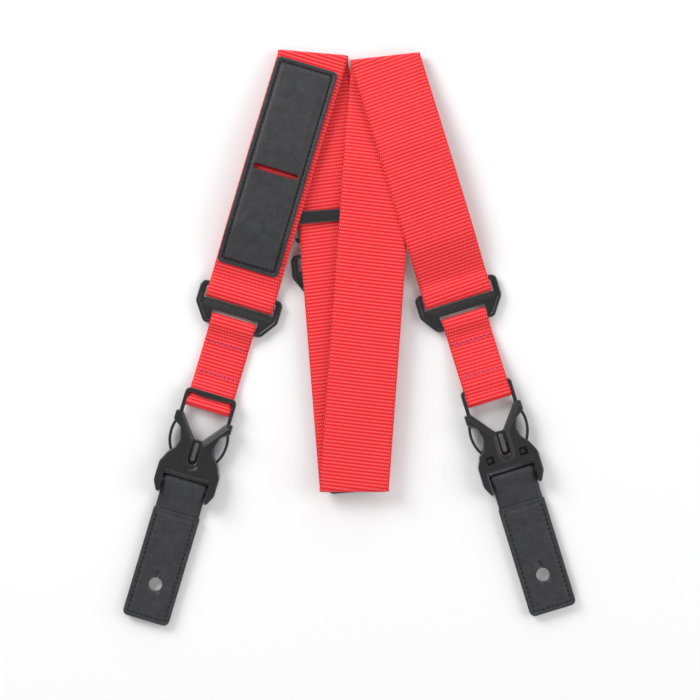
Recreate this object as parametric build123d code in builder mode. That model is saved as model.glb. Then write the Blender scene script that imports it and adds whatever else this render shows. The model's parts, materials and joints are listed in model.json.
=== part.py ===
from build123d import *
import os
from math import atan, atan2, cos, degrees, radians, sin, tan

# Webbing instrument strap, laid flat and folded on a table, in millimetres.
# X runs to the right, Y up the strap towards its top folds, Z up from the table.
os.makedirs("parts", exist_ok=True)

# ---------------------------------------------------------------- driving sizes
WIDE = 38.0  # main webbing
NARROW = 25.0  # link webbing
WEB = 1.1  # webbing thickness
GAP = 0.2  # clearance between layers that slide over each other

# Tapered ring, centred on its own origin
RING_WIDTH = 47.4
RING_FOOT = 33.0
RING_HEIGHT = 22.9
RING_SHOULDER = -1.2
RIM = 2.4
RIM_THICK = 2.0
RING_WEB_THICK = 1.3
WIDE_SLOT = (2.0, RING_HEIGHT / 2 - RIM, 40.0)  # from, to, width
NARROW_SLOT = (-RING_HEIGHT / 2 + RIM, -3.3, 26.4)
BAR_AT = RING_HEIGHT / 2 - RIM / 2  # the two outer bars' centres, up and down

# Loops of webbing that hang on the bars
LOOP_R = 1.65  # inside half height
LOOP_OUT = LOOP_R + WEB
RING_Z = LOOP_OUT  # bar height above the table

# Heights of the webbing layers' middles
BACK_Z = 2 * LOOP_OUT + GAP + WEB / 2  # back runs, over the rear branch
SLIDER_BAR = 1.8
SLIDER_BAR_Z = BACK_Z + WEB / 2 + GAP + SLIDER_BAR / 2
TOP_Z = SLIDER_BAR_Z + SLIDER_BAR / 2 + GAP + WEB / 2  # left and middle runs
OVER_Z = TOP_Z + WEB + GAP  # right run, over the middle run
FOLD_RISE = TOP_Z - BACK_Z  # every fold has the same round edge
LEFT_LOW = WEB / 2 + 0.02  # the top left fold lies on the table
RIGHT_LOW = LEFT_LOW + WEB + GAP  # the top right fold, level with the layer over the left back run

# Where the pieces lie: a centre and a lean (turn about Z) for each straight run
ALIGN = (1.49, -0.10)  # moves the whole strap so that the origin is under its middle
LEFT_RING = (-63.8, 15.0)
LEFT_LEAN = -16.6
RIGHT_RING = (60.3, 17.9)
RIGHT_LEAN = 17.0
TOP_LEFT_FOLD = (-21.6, 156.4)
TOP_RIGHT_FOLD = (18.3, 156.3)
BOTTOM_FOLD = (1.2, -84.7)
SLIDER = (-10.9, 67.5)
LEFT_BACK_LEAN = 7.0
BACK_LEAN = 4.6
MIDDLE_LEAN = -4.2
REAR_RING_DOWN = 31.7  # below the slider's middle
REAR_RING_ASIDE = -1.3

# Side-release buckle, in the leg's frame: distances down from the ring's centre
BUCKLE_THICK = 9.0
BUCKLE_Z = BUCKLE_THICK / 2
MALE_THICK = 4.0
FRAME_TOP = -48.3
OUTER_BAR = 3.0
PIVOT_BAR = -56.0
PIVOT_LOOP_R = 1.75
ARM_TIP = -62.2
RELEASE_ROOT = -65.5
LEATHER_BAR = -101.0
LEATHER_BAR_R = 2.1
FEMALE_END = -108.6
RIGHT_RISE = 2.2  # the right leg's link is shorter by this much

# Leather tab
LEATHER = 1.0
LOOP_LEATHER = 1.1
TAB_WIDTH = 26.4
TAB_TOP = -117.5
TAB_TIP = -179.9
TAB_HOLE = -158.9
HOLE_R = 3.75
REAR_TAB_TOP = -26.0
REAR_TAB_TIP = -122.5

# Leather panel on the left run, in the left leg's frame
PANEL_WIDTH = 35.0
PANEL_FROM = 23.0
PANEL_LENGTH = 119.0
PANEL_SHIFT = -1.2
PANEL_PAD = 1.2
TAIL_END = 31.0


# ---------------------------------------------------------------- planes
def over(place, lean, height=0.0):
    """A level plane with its Y up a run that leans by that many degrees."""
    turn = radians(lean)
    x, y = place
    return Plane(origin=(x, y, height), x_dir=(cos(turn), sin(turn), 0), z_dir=(0, 0, 1))


def beside(place, lean):
    """An upright plane along a run: X up the run, Y is height."""
    turn = radians(lean)
    x, y = place
    return Plane(origin=(x, y, 0), x_dir=(-sin(turn), cos(turn), 0), z_dir=(cos(turn), sin(turn), 0))


def fold_cut(place, lean):
    """An upright plane through a fold line; its normal points up the strap."""
    turn = radians(lean)
    return Plane(origin=(*place, 0), z_dir=(-sin(turn), cos(turn), 0))


LEG = Plane.XY  # pieces of a leg are made here, then laid in place
LEG_SIDE = beside((0, 0), 0)
TOP_LEFT_LINE = (LEFT_LEAN + LEFT_BACK_LEAN) / 2
TOP_RIGHT_LINE = (RIGHT_LEAN + MIDDLE_LEAN) / 2
BOTTOM_LINE = (BACK_LEAN + MIDDLE_LEAN) / 2
SLIDER_LINE = (LEFT_BACK_LEAN + BACK_LEAN) / 2  # where the run bends a little, under the slider's bar
LEFT = over(LEFT_RING, LEFT_LEAN).location
RIGHT = over(RIGHT_RING, RIGHT_LEAN).location
AT_SLIDER = over(SLIDER, BACK_LEAN).location
REAR = AT_SLIDER * Location((REAR_RING_ASIDE, -REAR_RING_DOWN, 0))
BUCKLE_LIFT = Location((0, RIGHT_RISE, 0))
FLIP = Location((0, 0, BUCKLE_THICK), (0, 180, 0))
FLAT = Location((0, 0, 0))


def keep(part, name, *places):
    """Lay a piece where it belongs and write it as a node."""
    for place in places[::-1]:
        part = place * part
    part = Location((*ALIGN, 0)) * part
    part.label = name
    export_step(part, f"parts/{name}.step")
    return part


# ---------------------------------------------------------------- webbing runs
def side_path(route, radii=()):
    """A side-view line, with a rounded bend at each inner corner."""
    if radii:
        return FilletPolyline(*route, radius=radii)
    return Line(*route)


def run(place, lean, route, radii=()):
    """A webbing run: a side-view route of (distance up the run, height), made as wide as the webbing."""
    with BuildPart() as strip:
        with BuildSketch(beside(place, lean)):
            with BuildLine() as path:
                side_path(route, radii)
            trace(path.edges(), line_width=WEB)
        extrude(amount=WIDE / 2, both=True)
    return strip


def fold(place, line, width_lean, low):
    """The round edge of a fold: half a tube along the fold line."""
    length = WIDE / cos(radians(width_lean - line))
    with BuildPart() as edge:
        with BuildSketch(beside(place, line)):
            with BuildLine() as path:
                CenterArc((0, low + FOLD_RISE / 2), FOLD_RISE / 2, -90, 180)
            trace(path.edges(), line_width=WEB)
        extrude(amount=length / 2, both=True)
    return edge


def ring_loop():
    """The wide webbing's loop round a ring's upper bar."""
    low = WIDE_SLOT[0] + GAP + LOOP_OUT
    high = BAR_AT + 0.45
    with BuildPart() as loop:
        with BuildSketch(LEG_SIDE):
            with Locations(((low + high) / 2, RING_Z)):
                SlotCenterToCenter(high - low, 2 * LOOP_OUT)
                SlotCenterToCenter(high - low, 2 * LOOP_R, mode=Mode.SUBTRACT)
        extrude(amount=WIDE / 2, both=True)
    return loop.part, high + LOOP_OUT


LOOP_PART, LOOP_END = ring_loop()
SEAM = WEB / 2 + 0.01  # half the pitch of two layers sewn together
RISE_START = LOOP_END + 4  # the left run climbs from here
RISE_END = 42.0  # to here, where it passes over the slider
RIGHT_RISE_END = 37.0  # the right run climbs sooner, over the middle run
RIGHT_DROP_END = 144.7  # and its sinking ends nearer its fold
LOW_BEND = 10.0  # bend radii: at the foot of the climb
HIGH_BEND = 30.0  # and at its top
RISE_ANGLE = atan2(TOP_Z - RING_Z + SEAM, RISE_END - RISE_START)
DROP_START = 92.0  # past the slider the left run sinks towards its fold
DROP_END = 147.6
DROP_ANGLE = atan2(TOP_Z - LEFT_LOW - FOLD_RISE, DROP_END - DROP_START)
DROP_BEND = 60.0

# Left run: single webbing from the top left fold down to the left ring
past_fold = 8
left_route = [
    (LOOP_END, RING_Z - SEAM), (RISE_START, RING_Z - SEAM), (RISE_END, TOP_Z), (DROP_START, TOP_Z),
    (DROP_END + past_fold, LEFT_LOW + FOLD_RISE - past_fold * tan(DROP_ANGLE)),
]
left_run = run(LEFT_RING, LEFT_LEAN, left_route, [LOW_BEND, HIGH_BEND, DROP_BEND])
with left_run:
    split(bisect_by=fold_cut(TOP_LEFT_FOLD, TOP_LEFT_LINE), keep=Keep.BOTTOM)
keep(left_run.part, "left_run")
keep(LOOP_PART, "left_ring_loop", LEFT)

# Tail: the webbing's end, lying on the left run above the ring
def above_left_run(height, start):
    """A side-view route that stays that far above the left run's middle, from a distance up the run."""
    climb = (start - RISE_START) * tan(RISE_ANGLE)
    return [
        (start, RING_Z - SEAM + climb + height / cos(RISE_ANGLE)),
        (RISE_END - height * tan(RISE_ANGLE / 2), TOP_Z + height),
        (DROP_START + height * tan(DROP_ANGLE / 2), TOP_Z + height),
        (DROP_END, LEFT_LOW + FOLD_RISE + height / cos(DROP_ANGLE)),
    ]


tail_bend = (RISE_START - 2 * SEAM * tan(RISE_ANGLE / 2), RING_Z + SEAM)
tail_route = [(LOOP_END, RING_Z + SEAM), tail_bend, above_left_run(2 * SEAM, TAIL_END)[0]]
keep(run(LEFT_RING, LEFT_LEAN, tail_route, [LOW_BEND - 2 * SEAM]).part, "left_tail")

# Left back run, under the left run, from the top left fold to the slider
left_back_route = [(-5, BACK_Z), (25, BACK_Z), (66, LEFT_LOW), (110, LEFT_LOW)]
left_back = run(SLIDER, LEFT_BACK_LEAN, left_back_route, [40, 40])
with left_back:
    split(bisect_by=fold_cut(SLIDER, SLIDER_LINE), keep=Keep.TOP)
    split(bisect_by=fold_cut(TOP_LEFT_FOLD, TOP_LEFT_LINE), keep=Keep.BOTTOM)
keep(left_back.part, "left_back_run")
keep(fold(TOP_LEFT_FOLD, TOP_LEFT_LINE, LEFT_LEAN, LEFT_LOW).part, "top_left_fold")

# Back run, from the slider down to the bottom fold
back = run(SLIDER, BACK_LEAN, [(-170, BACK_Z), (5, BACK_Z)])
with back:
    split(bisect_by=fold_cut(SLIDER, SLIDER_LINE), keep=Keep.BOTTOM)
    split(bisect_by=fold_cut(BOTTOM_FOLD, BOTTOM_LINE), keep=Keep.TOP)
keep(back.part, "back_run")
bottom_fold = fold(BOTTOM_FOLD, BOTTOM_LINE + 180, BACK_LEAN + 180, BACK_Z)
keep(bottom_fold.part, "bottom_fold")

# Middle run, from the bottom fold up to the top right fold
middle_route = [(-10, TOP_Z), (180, TOP_Z), (221, RIGHT_LOW), (260, RIGHT_LOW)]
middle_run = run(BOTTOM_FOLD, MIDDLE_LEAN, middle_route, [60, 60])
with middle_run:
    split(bisect_by=fold_cut(BOTTOM_FOLD, BOTTOM_LINE), keep=Keep.TOP)
    split(bisect_by=fold_cut(TOP_RIGHT_FOLD, TOP_RIGHT_LINE), keep=Keep.BOTTOM)
keep(middle_run.part, "middle_run")
keep(fold(TOP_RIGHT_FOLD, TOP_RIGHT_LINE, RIGHT_LEAN, RIGHT_LOW).part, "top_right_fold")

# Right run, over the middle run, from the top right fold to the right ring
right_route = [
    (LOOP_END, RING_Z), (LOOP_END + 3, RING_Z), (RIGHT_RISE_END, OVER_Z), (92, OVER_Z),
    (RIGHT_DROP_END + past_fold, RIGHT_LOW + FOLD_RISE - past_fold * tan(DROP_ANGLE)),
]
right_run = run(RIGHT_RING, RIGHT_LEAN, right_route, [6, 20, DROP_BEND])
with right_run:
    split(bisect_by=fold_cut(TOP_RIGHT_FOLD, TOP_RIGHT_LINE), keep=Keep.BOTTOM)
keep(right_run.part, "right_run")
keep(LOOP_PART, "right_ring_loop", RIGHT)


# ---------------------------------------------------------------- leather panel
def panel_layer(low, thick, plan_width, plan_from, plan_to, corner):
    """A layer that follows the left run, at a height above it, with a rounded outline."""
    middle = low + thick / 2
    route = above_left_run(middle, 6)
    with BuildPart() as layer:
        with BuildSketch(LEG_SIDE):
            with BuildLine() as path:
                side_path(route, [HIGH_BEND + middle, DROP_BEND + middle])
            trace(path.edges(), line_width=thick)
        extrude(amount=PANEL_WIDTH, both=True)
        with BuildSketch(LEG):
            with Locations((PANEL_SHIFT, (plan_from + plan_to) / 2)):
                RectangleRounded(plan_width, plan_to - plan_from, corner)
        extrude(amount=40, mode=Mode.INTERSECT)
    return layer


PANEL_TO = PANEL_FROM + PANEL_LENGTH
ON_RUN = WEB / 2 + 0.02
PICK_SLOT = (25.6, 3.0, PANEL_FROM + 56.5)


def pick_slot(part):
    """Cut the pick slot through a layer of the panel."""
    with BuildSketch(LEG) as opening:
        with Locations((PANEL_SHIFT, PICK_SLOT[2])):
            SlotOverall(PICK_SLOT[0], PICK_SLOT[1])
    with part:
        extrude(opening.sketch, amount=40, mode=Mode.SUBTRACT)
    return part


lining = pick_slot(panel_layer(ON_RUN, WEB, PANEL_WIDTH - 1, TAIL_END + 0.4, PANEL_TO - 0.5, 2))
keep(lining.part, "panel_lining", LEFT)
on_lining = ON_RUN + WEB + 0.03
border = 4.2
core = panel_layer(
    on_lining, PANEL_PAD, PANEL_WIDTH - 2 * border, PANEL_FROM + border, PANEL_TO - border, 2
)
keep(pick_slot(core).part, "panel_core", LEFT)
leather = panel_layer(on_lining, LEATHER, PANEL_WIDTH, PANEL_FROM, PANEL_TO, 3)
raised = panel_layer(
    on_lining + LEATHER - 0.01, PANEL_PAD, PANEL_WIDTH - 2 * border + 2, PANEL_FROM + border - 1,
    PANEL_TO - border + 1, 3,
)
with leather:
    add(raised.part)
    add(core.part, mode=Mode.SUBTRACT)
keep(pick_slot(leather).part, "panel_leather", LEFT)
seam_in = 2.4
seam = panel_layer(
    on_lining + LEATHER + 0.05, 0.4, PANEL_WIDTH - 2 * seam_in, PANEL_FROM + seam_in, PANEL_TO - seam_in, 2
)
seam_inner = panel_layer(
    on_lining + LEATHER - 0.5, 2.0, PANEL_WIDTH - 2 * seam_in - 1.2, PANEL_FROM + seam_in + 0.6,
    PANEL_TO - seam_in - 0.6, 2,
)
with seam:
    add(seam_inner.part, mode=Mode.SUBTRACT)
keep(seam.part, "panel_stitching", LEFT)


# ---------------------------------------------------------------- tapered rings
def tapered_ring():
    """Three bars in a tapered rim: a wide slot above and a narrow slot below."""
    half = RING_HEIGHT / 2
    with BuildPart() as ring:
        with BuildSketch(LEG) as outline:
            with BuildLine():
                Polyline(
                    (-RING_WIDTH / 2, half), (RING_WIDTH / 2, half), (RING_WIDTH / 2, RING_SHOULDER),
                    (RING_FOOT / 2, -half), (-RING_FOOT / 2, -half), (-RING_WIDTH / 2, RING_SHOULDER),
                    close=True,
                )
            make_face()
            fillet(outline.vertices(), 3)
        extrude(amount=RIM_THICK / 2, both=True)
        for face in (ring.faces().sort_by(Axis.Z)[-1], ring.faces().sort_by(Axis.Z)[0]):
            fillet(face.edges(), 0.6)
        for height in (RIM_THICK / 2, -RING_WEB_THICK / 2):
            with BuildSketch(LEG.offset(height)):
                add(outline.sketch)
                offset(amount=-RIM, mode=Mode.REPLACE)
            extrude(amount=-(RIM_THICK - RING_WEB_THICK) / 2, mode=Mode.SUBTRACT)
        for low, high, width in (WIDE_SLOT, NARROW_SLOT):
            with BuildSketch(LEG):
                with Locations((0, (low + high) / 2)):
                    RectangleRounded(width, high - low, 0.6)
            extrude(amount=RIM_THICK, both=True, mode=Mode.SUBTRACT)
    return ring.part


RING_LIFT = Location((0, 0, RING_Z))
ring = tapered_ring()
for name, place in (("left_ring", LEFT), ("right_ring", RIGHT), ("rear_ring", REAR)):
    keep(ring, name, place, RING_LIFT)


# ---------------------------------------------------------------- slider and rear loop
SLIDER_WIDTH = 43.6
SLIDER_HEIGHT = 28.0
SLIDER_SLOT = 39.6
SLIDER_BAR_WIDTH = 7.0


def slider():
    """Low outer bars under the back runs and a high centre bar over them."""
    low = RING_Z - RIM_THICK / 2
    with BuildPart() as frame:
        with BuildSketch(LEG.offset(low)):
            RectangleRounded(SLIDER_WIDTH, SLIDER_HEIGHT, 3)
            RectangleRounded(SLIDER_SLOT, SLIDER_HEIGHT - 2 * RIM, 1, mode=Mode.SUBTRACT)
        extrude(amount=RIM_THICK)
        rail = (SLIDER_WIDTH - SLIDER_SLOT) / 2
        top = SLIDER_BAR_Z + SLIDER_BAR / 2
        for side in (-1, 1):
            with BuildSketch(beside((side * (SLIDER_SLOT + rail) / 2, 0), 0)):
                with BuildLine():
                    Polyline(
                        (-SLIDER_HEIGHT / 2 + 3, low), (SLIDER_HEIGHT / 2 - 3, low),
                        (SLIDER_HEIGHT / 2 - 3, low + RIM_THICK), (SLIDER_BAR_WIDTH / 2, top),
                        (-SLIDER_BAR_WIDTH / 2, top), (-SLIDER_HEIGHT / 2 + 3, low + RIM_THICK),
                        close=True,
                    )
                make_face()
            extrude(amount=rail / 2, both=True)
        with BuildSketch(LEG_SIDE):
            with Locations((0, SLIDER_BAR_Z)):
                RectangleRounded(SLIDER_BAR_WIDTH, SLIDER_BAR, 0.8)
        extrude(amount=SLIDER_WIDTH / 2, both=True)
    return frame.part


def rear_loop():
    """Webbing from the slider's lower bar to the rear ring's upper bar."""
    top = -SLIDER_HEIGHT / 2 + RIM / 2
    bottom = -REAR_RING_DOWN + BAR_AT
    with BuildPart() as loop:
        with BuildSketch(LEG_SIDE):
            with Locations(((top + 0.3 + bottom) / 2, RING_Z)):
                SlotCenterToCenter(top + 0.3 - bottom, 2 * LOOP_OUT)
                SlotCenterToCenter(top + 0.3 - bottom, 2 * LOOP_R, mode=Mode.SUBTRACT)
        extrude(amount=WIDE / 2, both=True)
    return loop.part


keep(slider(), "length_slider", AT_SLIDER)
keep(rear_loop(), "rear_loop", AT_SLIDER, Location((REAR_RING_ASIDE / 2, 0, 0)))


# ---------------------------------------------------------------- links
LOOP_HEAD = -7.4  # the roomy loops round the ring's lower bar run from here
LOOP_FOOT = -BAR_AT - 0.45  # down to here
TABLE_Z = WEB  # middle of two layers lying on the table


def link(route, radii, end, end_z, end_r, head=LOOP_HEAD):
    """Doubled narrow webbing: a loop on the ring's lower bar, a sewn middle and an end loop."""
    loop_place = ((head + LOOP_FOOT) / 2, RING_Z)
    with BuildPart() as strip:
        with BuildSketch(LEG_SIDE):
            with BuildLine() as path:
                side_path(route, radii)
            trace(path.edges(), line_width=2 * WEB)
            with Locations(loop_place):
                SlotCenterToCenter(head - LOOP_FOOT, 2 * LOOP_OUT)
            if end_r:
                with Locations((end, end_z)):
                    Circle(end_r + WEB)
                    Circle(end_r, mode=Mode.SUBTRACT)
            with Locations(loop_place):
                SlotCenterToCenter(head - LOOP_FOOT, 2 * LOOP_R, mode=Mode.SUBTRACT)
        extrude(amount=NARROW / 2, both=True)
    return strip.part


under_bar = BUCKLE_Z - 1.6  # middle of the layers where they pass the male frame's outer bar
bar_mid = FRAME_TOP - OUTER_BAR / 2
link_start = (-12.5, RING_Z)
left_table = [(-17, TABLE_Z), (-41, TABLE_Z)]
left_link_route = [
    link_start, *left_table, (bar_mid + 2, under_bar + 0.2), (PIVOT_BAR + PIVOT_LOOP_R + 0.4, BUCKLE_Z - 0.6),
]
right_ramp = [(-17, TABLE_Z), (bar_mid + RIGHT_RISE + 2, BUCKLE_THICK - under_bar - 0.2)]
right_link_route = [link_start, *right_ramp, (PIVOT_BAR + RIGHT_RISE + PIVOT_LOOP_R + 0.4, BUCKLE_Z + 0.6)]
left_link = link(left_link_route, [3, 8, 6], PIVOT_BAR, BUCKLE_Z, PIVOT_LOOP_R)
right_link = link(right_link_route, [3, 5], PIVOT_BAR + RIGHT_RISE, BUCKLE_Z, PIVOT_LOOP_R)
keep(left_link, "left_link", LEFT)
keep(right_link, "right_link", RIGHT)

TAB_MID = LEATHER + LOOP_LEATHER  # middle of a tab's layers
rear_link_route = [link_start, (-18, TAB_MID), (REAR_TAB_TOP - 10, TAB_MID)]
rear_link = link(rear_link_route, [3], 0, 0, 0, -BAR_AT)  # round about its bar, with the back run close above
keep(rear_link, "rear_link", REAR)


def link_stitching(ramp, rows):
    """Bar tacks: rows across a link, just proud of the straight stretch between two route points."""
    (near, near_z), (far, far_z) = ramp
    slant = atan((far_z - near_z) / (far - near))
    lift = WEB + 0.2
    with BuildPart() as tacks:
        with BuildSketch(LEG_SIDE):
            for row in rows:
                height = near_z + (row - near) * tan(slant) + lift / cos(slant)
                with Locations((row, height)):
                    Rectangle(2.2, 0.3, rotation=degrees(slant))
        extrude(amount=NARROW / 2 - 2, both=True)
    return tacks.part


keep(link_stitching(left_table, (-20.5, -37.5)), "left_link_stitching", LEFT)
keep(link_stitching(right_ramp, (-20.5, -39)), "right_link_stitching", RIGHT)


# ---------------------------------------------------------------- side-release buckles
def male_frame():
    """Rectangular frame with two bars, arms that meet in a V, and a centre guide."""
    rail_out = 14.7
    rail_in = 12.7
    with BuildPart() as frame:
        with BuildSketch(LEG.offset(BUCKLE_Z - MALE_THICK / 2)):
            with BuildLine():
                Polyline(
                    (-rail_out + 1.5, FRAME_TOP), (rail_out - 1.5, FRAME_TOP), (rail_out, FRAME_TOP - 2),
                    (rail_out, RELEASE_ROOT), (4.4, -80), (1.6, -81), (1.6, -86.5), (-1.6, -86.5),
                    (-1.6, -81), (-4.4, -80), (-rail_out, RELEASE_ROOT), (-rail_out, FRAME_TOP - 2),
                    close=True,
                )
            make_face()
            with BuildLine():
                Polyline(
                    (-rail_in, FRAME_TOP - OUTER_BAR), (rail_in, FRAME_TOP - OUTER_BAR),
                    (rail_in, ARM_TIP), (2.2, -75.4), (-2.2, -75.4), (-rail_in, ARM_TIP),
                    close=True,
                )
            make_face(mode=Mode.SUBTRACT)
        extrude(amount=MALE_THICK)
        # the outer bar is thin, so that the webbing can pass under it
        with BuildSketch(LEG.offset(BUCKLE_Z - MALE_THICK)):
            with Locations((0, bar_mid)):
                Rectangle(2 * rail_in, OUTER_BAR + 2)
        extrude(amount=MALE_THICK + 0.3, mode=Mode.SUBTRACT)
        # pivot bar
        with BuildSketch(LEG_SIDE):
            with Locations((PIVOT_BAR, BUCKLE_Z)):
                Circle(PIVOT_LOOP_R - 0.25)
        extrude(amount=rail_in + 0.5, both=True)
    return frame.part


def prong(side):
    """Bowed spring arm with a latch head."""
    root = (14.75, RELEASE_ROOT - 1.9)
    with BuildPart() as arm:
        with BuildSketch(LEG.offset(BUCKLE_Z - MALE_THICK / 2 + 0.3)):
            with BuildLine() as path:
                ThreePointArc(root, (15.9, -76.0), (13.0, -84.6))
            trace(path.edges(), line_width=1.5)
            with BuildLine():
                Polyline((13.9, -84.2), (12.2, -83.6), (10.0, -88.5), (11.8, -89.4), (13.9, -87.0), close=True)
            make_face()
            with Locations(root):
                Circle(0.75)
            if side < 0:
                mirror(about=Plane.YZ, mode=Mode.REPLACE)
        extrude(amount=MALE_THICK - 0.6)
    return arm.part


def female_outline():
    """Plan outline of the female housing, right half then left half."""
    right = [
        (2.6, -75.6), (12.2, ARM_TIP - 0.6), (13.4, ARM_TIP), (16.3, ARM_TIP), (16.3, -67.6),
        (14.0, -69.2), (10.2, -73), (9.4, -77), (10.6, -81.5), (13.4, -84.8), (17.4, -93.5),
        (17.4, -103.0), (14.6, FEMALE_END), (12.9, FEMALE_END),
    ]
    left = [(-x, y) for x, y in right[::-1]]
    return right + left


def female_housing():
    """Hollow housing: two faces, a mouth in its arms, side windows and a bar for the leather loop."""
    wall = 2.4
    with BuildPart() as housing:
        with BuildSketch(LEG):
            with BuildLine():
                Polyline(*female_outline(), close=True)
            make_face()
        extrude(amount=BUCKLE_THICK)
        for face in (housing.faces().sort_by(Axis.Z)[-1], housing.faces().sort_by(Axis.Z)[0]):
            chamfer(face.edges(), 0.8)
        # centre slot through both faces
        with BuildSketch(LEG):
            with Locations((0, -82.0)):
                SlotOverall(14.6, 4.6, rotation=90)
        extrude(amount=BUCKLE_THICK, mode=Mode.SUBTRACT)
        # cavity for the male frame and the prongs, open at the arms and the windows
        with BuildSketch(LEG.offset(wall)):
            with BuildLine():
                Polyline(
                    (-15.0, ARM_TIP + 1), (15.0, ARM_TIP + 1), (15.0, -66.5), (17.0, -67.5), (17.0, -83.6),
                    (15.4, -84.0), (15.4, -88.2), (12.0, -91.6), (-12.0, -91.6), (-15.4, -88.2), (-15.4, -84.0),
                    (-17.0, -83.6), (-17.0, -67.5), (-15.0, -66.5),
                    close=True,
                )
            make_face()
        extrude(amount=BUCKLE_THICK - 2 * wall, mode=Mode.SUBTRACT)
        # opening for the leather loop
        with BuildSketch(LEG):
            with Locations((0, (FEMALE_END - 0.5 - 96.2) / 2)):
                Rectangle(26.0, -96.2 - FEMALE_END + 0.5)
        extrude(amount=BUCKLE_THICK, mode=Mode.SUBTRACT)
        with BuildSketch(LEG_SIDE):
            with Locations((LEATHER_BAR, BUCKLE_Z)):
                Circle(LEATHER_BAR_R)
        extrude(amount=14.5, both=True)
        # two sight windows in the lower face
        with BuildSketch(LEG):
            with Locations((9.6, -89.6), (-9.6, -89.6)):
                Rectangle(4.6, 4.6)
        extrude(amount=wall + 0.1, mode=Mode.SUBTRACT)
    return housing.part


male = male_frame()
female = female_housing()
SIDES = (("left", LEFT, FLAT, FLAT), ("right", RIGHT, BUCKLE_LIFT, FLIP))
for name, leg, lift, turn in SIDES:
    keep(male, f"{name}_buckle_frame", leg, lift, turn)
    keep(prong(-1), f"{name}_buckle_outer_prong", leg, lift, turn)
    keep(prong(1), f"{name}_buckle_inner_prong", leg, lift, turn)
    keep(female, f"{name}_buckle_housing", leg, lift, turn)


# ---------------------------------------------------------------- leather tabs
def tab_layer(low, thick, top, tip, width, corner, hole):
    """One layer of a tab, with its hole and the slit that lets a wide button head through."""
    with BuildPart() as layer:
        with BuildSketch(LEG.offset(low)) as plan:
            with Locations((0, (top + tip) / 2)):
                Rectangle(width, top - tip)
            fillet(plan.vertices().group_by(Axis.Y)[0], corner)
            if hole:
                with Locations((0, hole)):
                    Circle(HOLE_R, mode=Mode.SUBTRACT)
                with Locations((0, hole + HOLE_R + 2.0)):
                    Rectangle(0.6, 5.0, mode=Mode.SUBTRACT)
        extrude(amount=thick)
    return layer.part


def tab_stitching(low, top, tip, inset):
    """A thin U of thread inside the tab's edge."""
    with BuildPart() as seam_part:
        with BuildSketch(LEG.offset(low)) as plan:
            with Locations((0, (top - 2 + tip + inset) / 2)):
                Rectangle(TAB_WIDTH - 2 * inset, top - 2 - tip - inset)
            with Locations((0, (top + tip + inset) / 2 + 1)):
                Rectangle(TAB_WIDTH - 2 * inset - 1.2, top + 2 - tip - inset - 1.2 - 2, mode=Mode.SUBTRACT)
        extrude(amount=0.3)
    return seam_part.part


def tab_loop():
    """Leather strip round the housing's bar, its two ends going into the tab."""
    with BuildPart() as strip:
        with BuildSketch(LEG_SIDE):
            with BuildLine() as path:
                side_path(
                    [
                        (LEATHER_BAR - LEATHER_BAR_R - 0.6, BUCKLE_Z), (LEATHER_BAR - 7, BUCKLE_Z - 0.6),
                        (TAB_TOP + 3, TAB_MID), (TAB_TOP - 10, TAB_MID),
                    ],
                    [10, 20],
                )
            trace(path.edges(), line_width=2 * LOOP_LEATHER - 0.02)
            with Locations((LEATHER_BAR, BUCKLE_Z)):
                Circle(LEATHER_BAR_R + 0.2 + LOOP_LEATHER)
                Circle(LEATHER_BAR_R + 0.2, mode=Mode.SUBTRACT)
        extrude(amount=12.5, both=True)
    return strip.part


CORE_THICK = 2 * LOOP_LEATHER
TAB_FACE_Z = LEATHER + CORE_THICK
for name, leg, lift in (("left", LEFT, FLAT), ("right", RIGHT, BUCKLE_LIFT), ("rear", REAR, FLAT)):
    top = REAR_TAB_TOP if name == "rear" else TAB_TOP
    tip = REAR_TAB_TIP if name == "rear" else TAB_TIP
    hole = tip - TAB_TIP + TAB_HOLE
    if name != "rear":
        keep(tab_loop(), f"{name}_tab_loop", leg, lift)
    keep(tab_layer(0, LEATHER - 0.01, top, tip, TAB_WIDTH, 3, hole), f"{name}_tab_back", leg, lift)
    keep(
        tab_layer(LEATHER, CORE_THICK, top - 10.4 - (0.8 if name == "rear" else 0), tip + 0.6, TAB_WIDTH - 1.2, 2.5, hole),
        f"{name}_tab_core", leg, lift,
    )
    keep(tab_layer(TAB_FACE_Z + 0.01, LEATHER, top, tip, TAB_WIDTH, 3, hole), f"{name}_tab_face", leg, lift)
    keep(tab_stitching(TAB_FACE_Z + LEATHER + 0.02, top, tip, 2.4), f"{name}_tab_stitching", leg, lift)
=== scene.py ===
# %% [markdown]
# # A webbing instrument strap, laid out on a table
#
# The strap is one long piece of red webbing, folded three times. Tapered plastic
# rings, narrow webbing links, side-release buckles and leather tabs hang from it,
# and a padded leather panel is sewn onto its left run.

# %% Load the frame
import bpy
import bmesh
import json
import math
import random
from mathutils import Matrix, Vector, geometry
from mathutils.bvhtree import BVHTree


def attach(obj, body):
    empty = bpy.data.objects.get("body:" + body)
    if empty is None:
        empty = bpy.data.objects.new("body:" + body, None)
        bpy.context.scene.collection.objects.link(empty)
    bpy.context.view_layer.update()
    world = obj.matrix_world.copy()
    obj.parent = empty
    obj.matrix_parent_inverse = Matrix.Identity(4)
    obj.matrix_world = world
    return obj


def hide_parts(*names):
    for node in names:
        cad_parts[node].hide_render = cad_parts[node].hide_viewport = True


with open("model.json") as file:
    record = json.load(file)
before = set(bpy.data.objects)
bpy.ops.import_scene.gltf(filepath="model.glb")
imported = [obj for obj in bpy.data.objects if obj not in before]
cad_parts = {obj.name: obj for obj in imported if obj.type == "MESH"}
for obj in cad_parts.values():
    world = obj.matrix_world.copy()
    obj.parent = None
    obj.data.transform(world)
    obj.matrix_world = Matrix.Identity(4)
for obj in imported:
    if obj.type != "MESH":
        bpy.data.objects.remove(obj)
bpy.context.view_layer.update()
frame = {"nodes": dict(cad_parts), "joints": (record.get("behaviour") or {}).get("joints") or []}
nodes = frame["nodes"]
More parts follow.
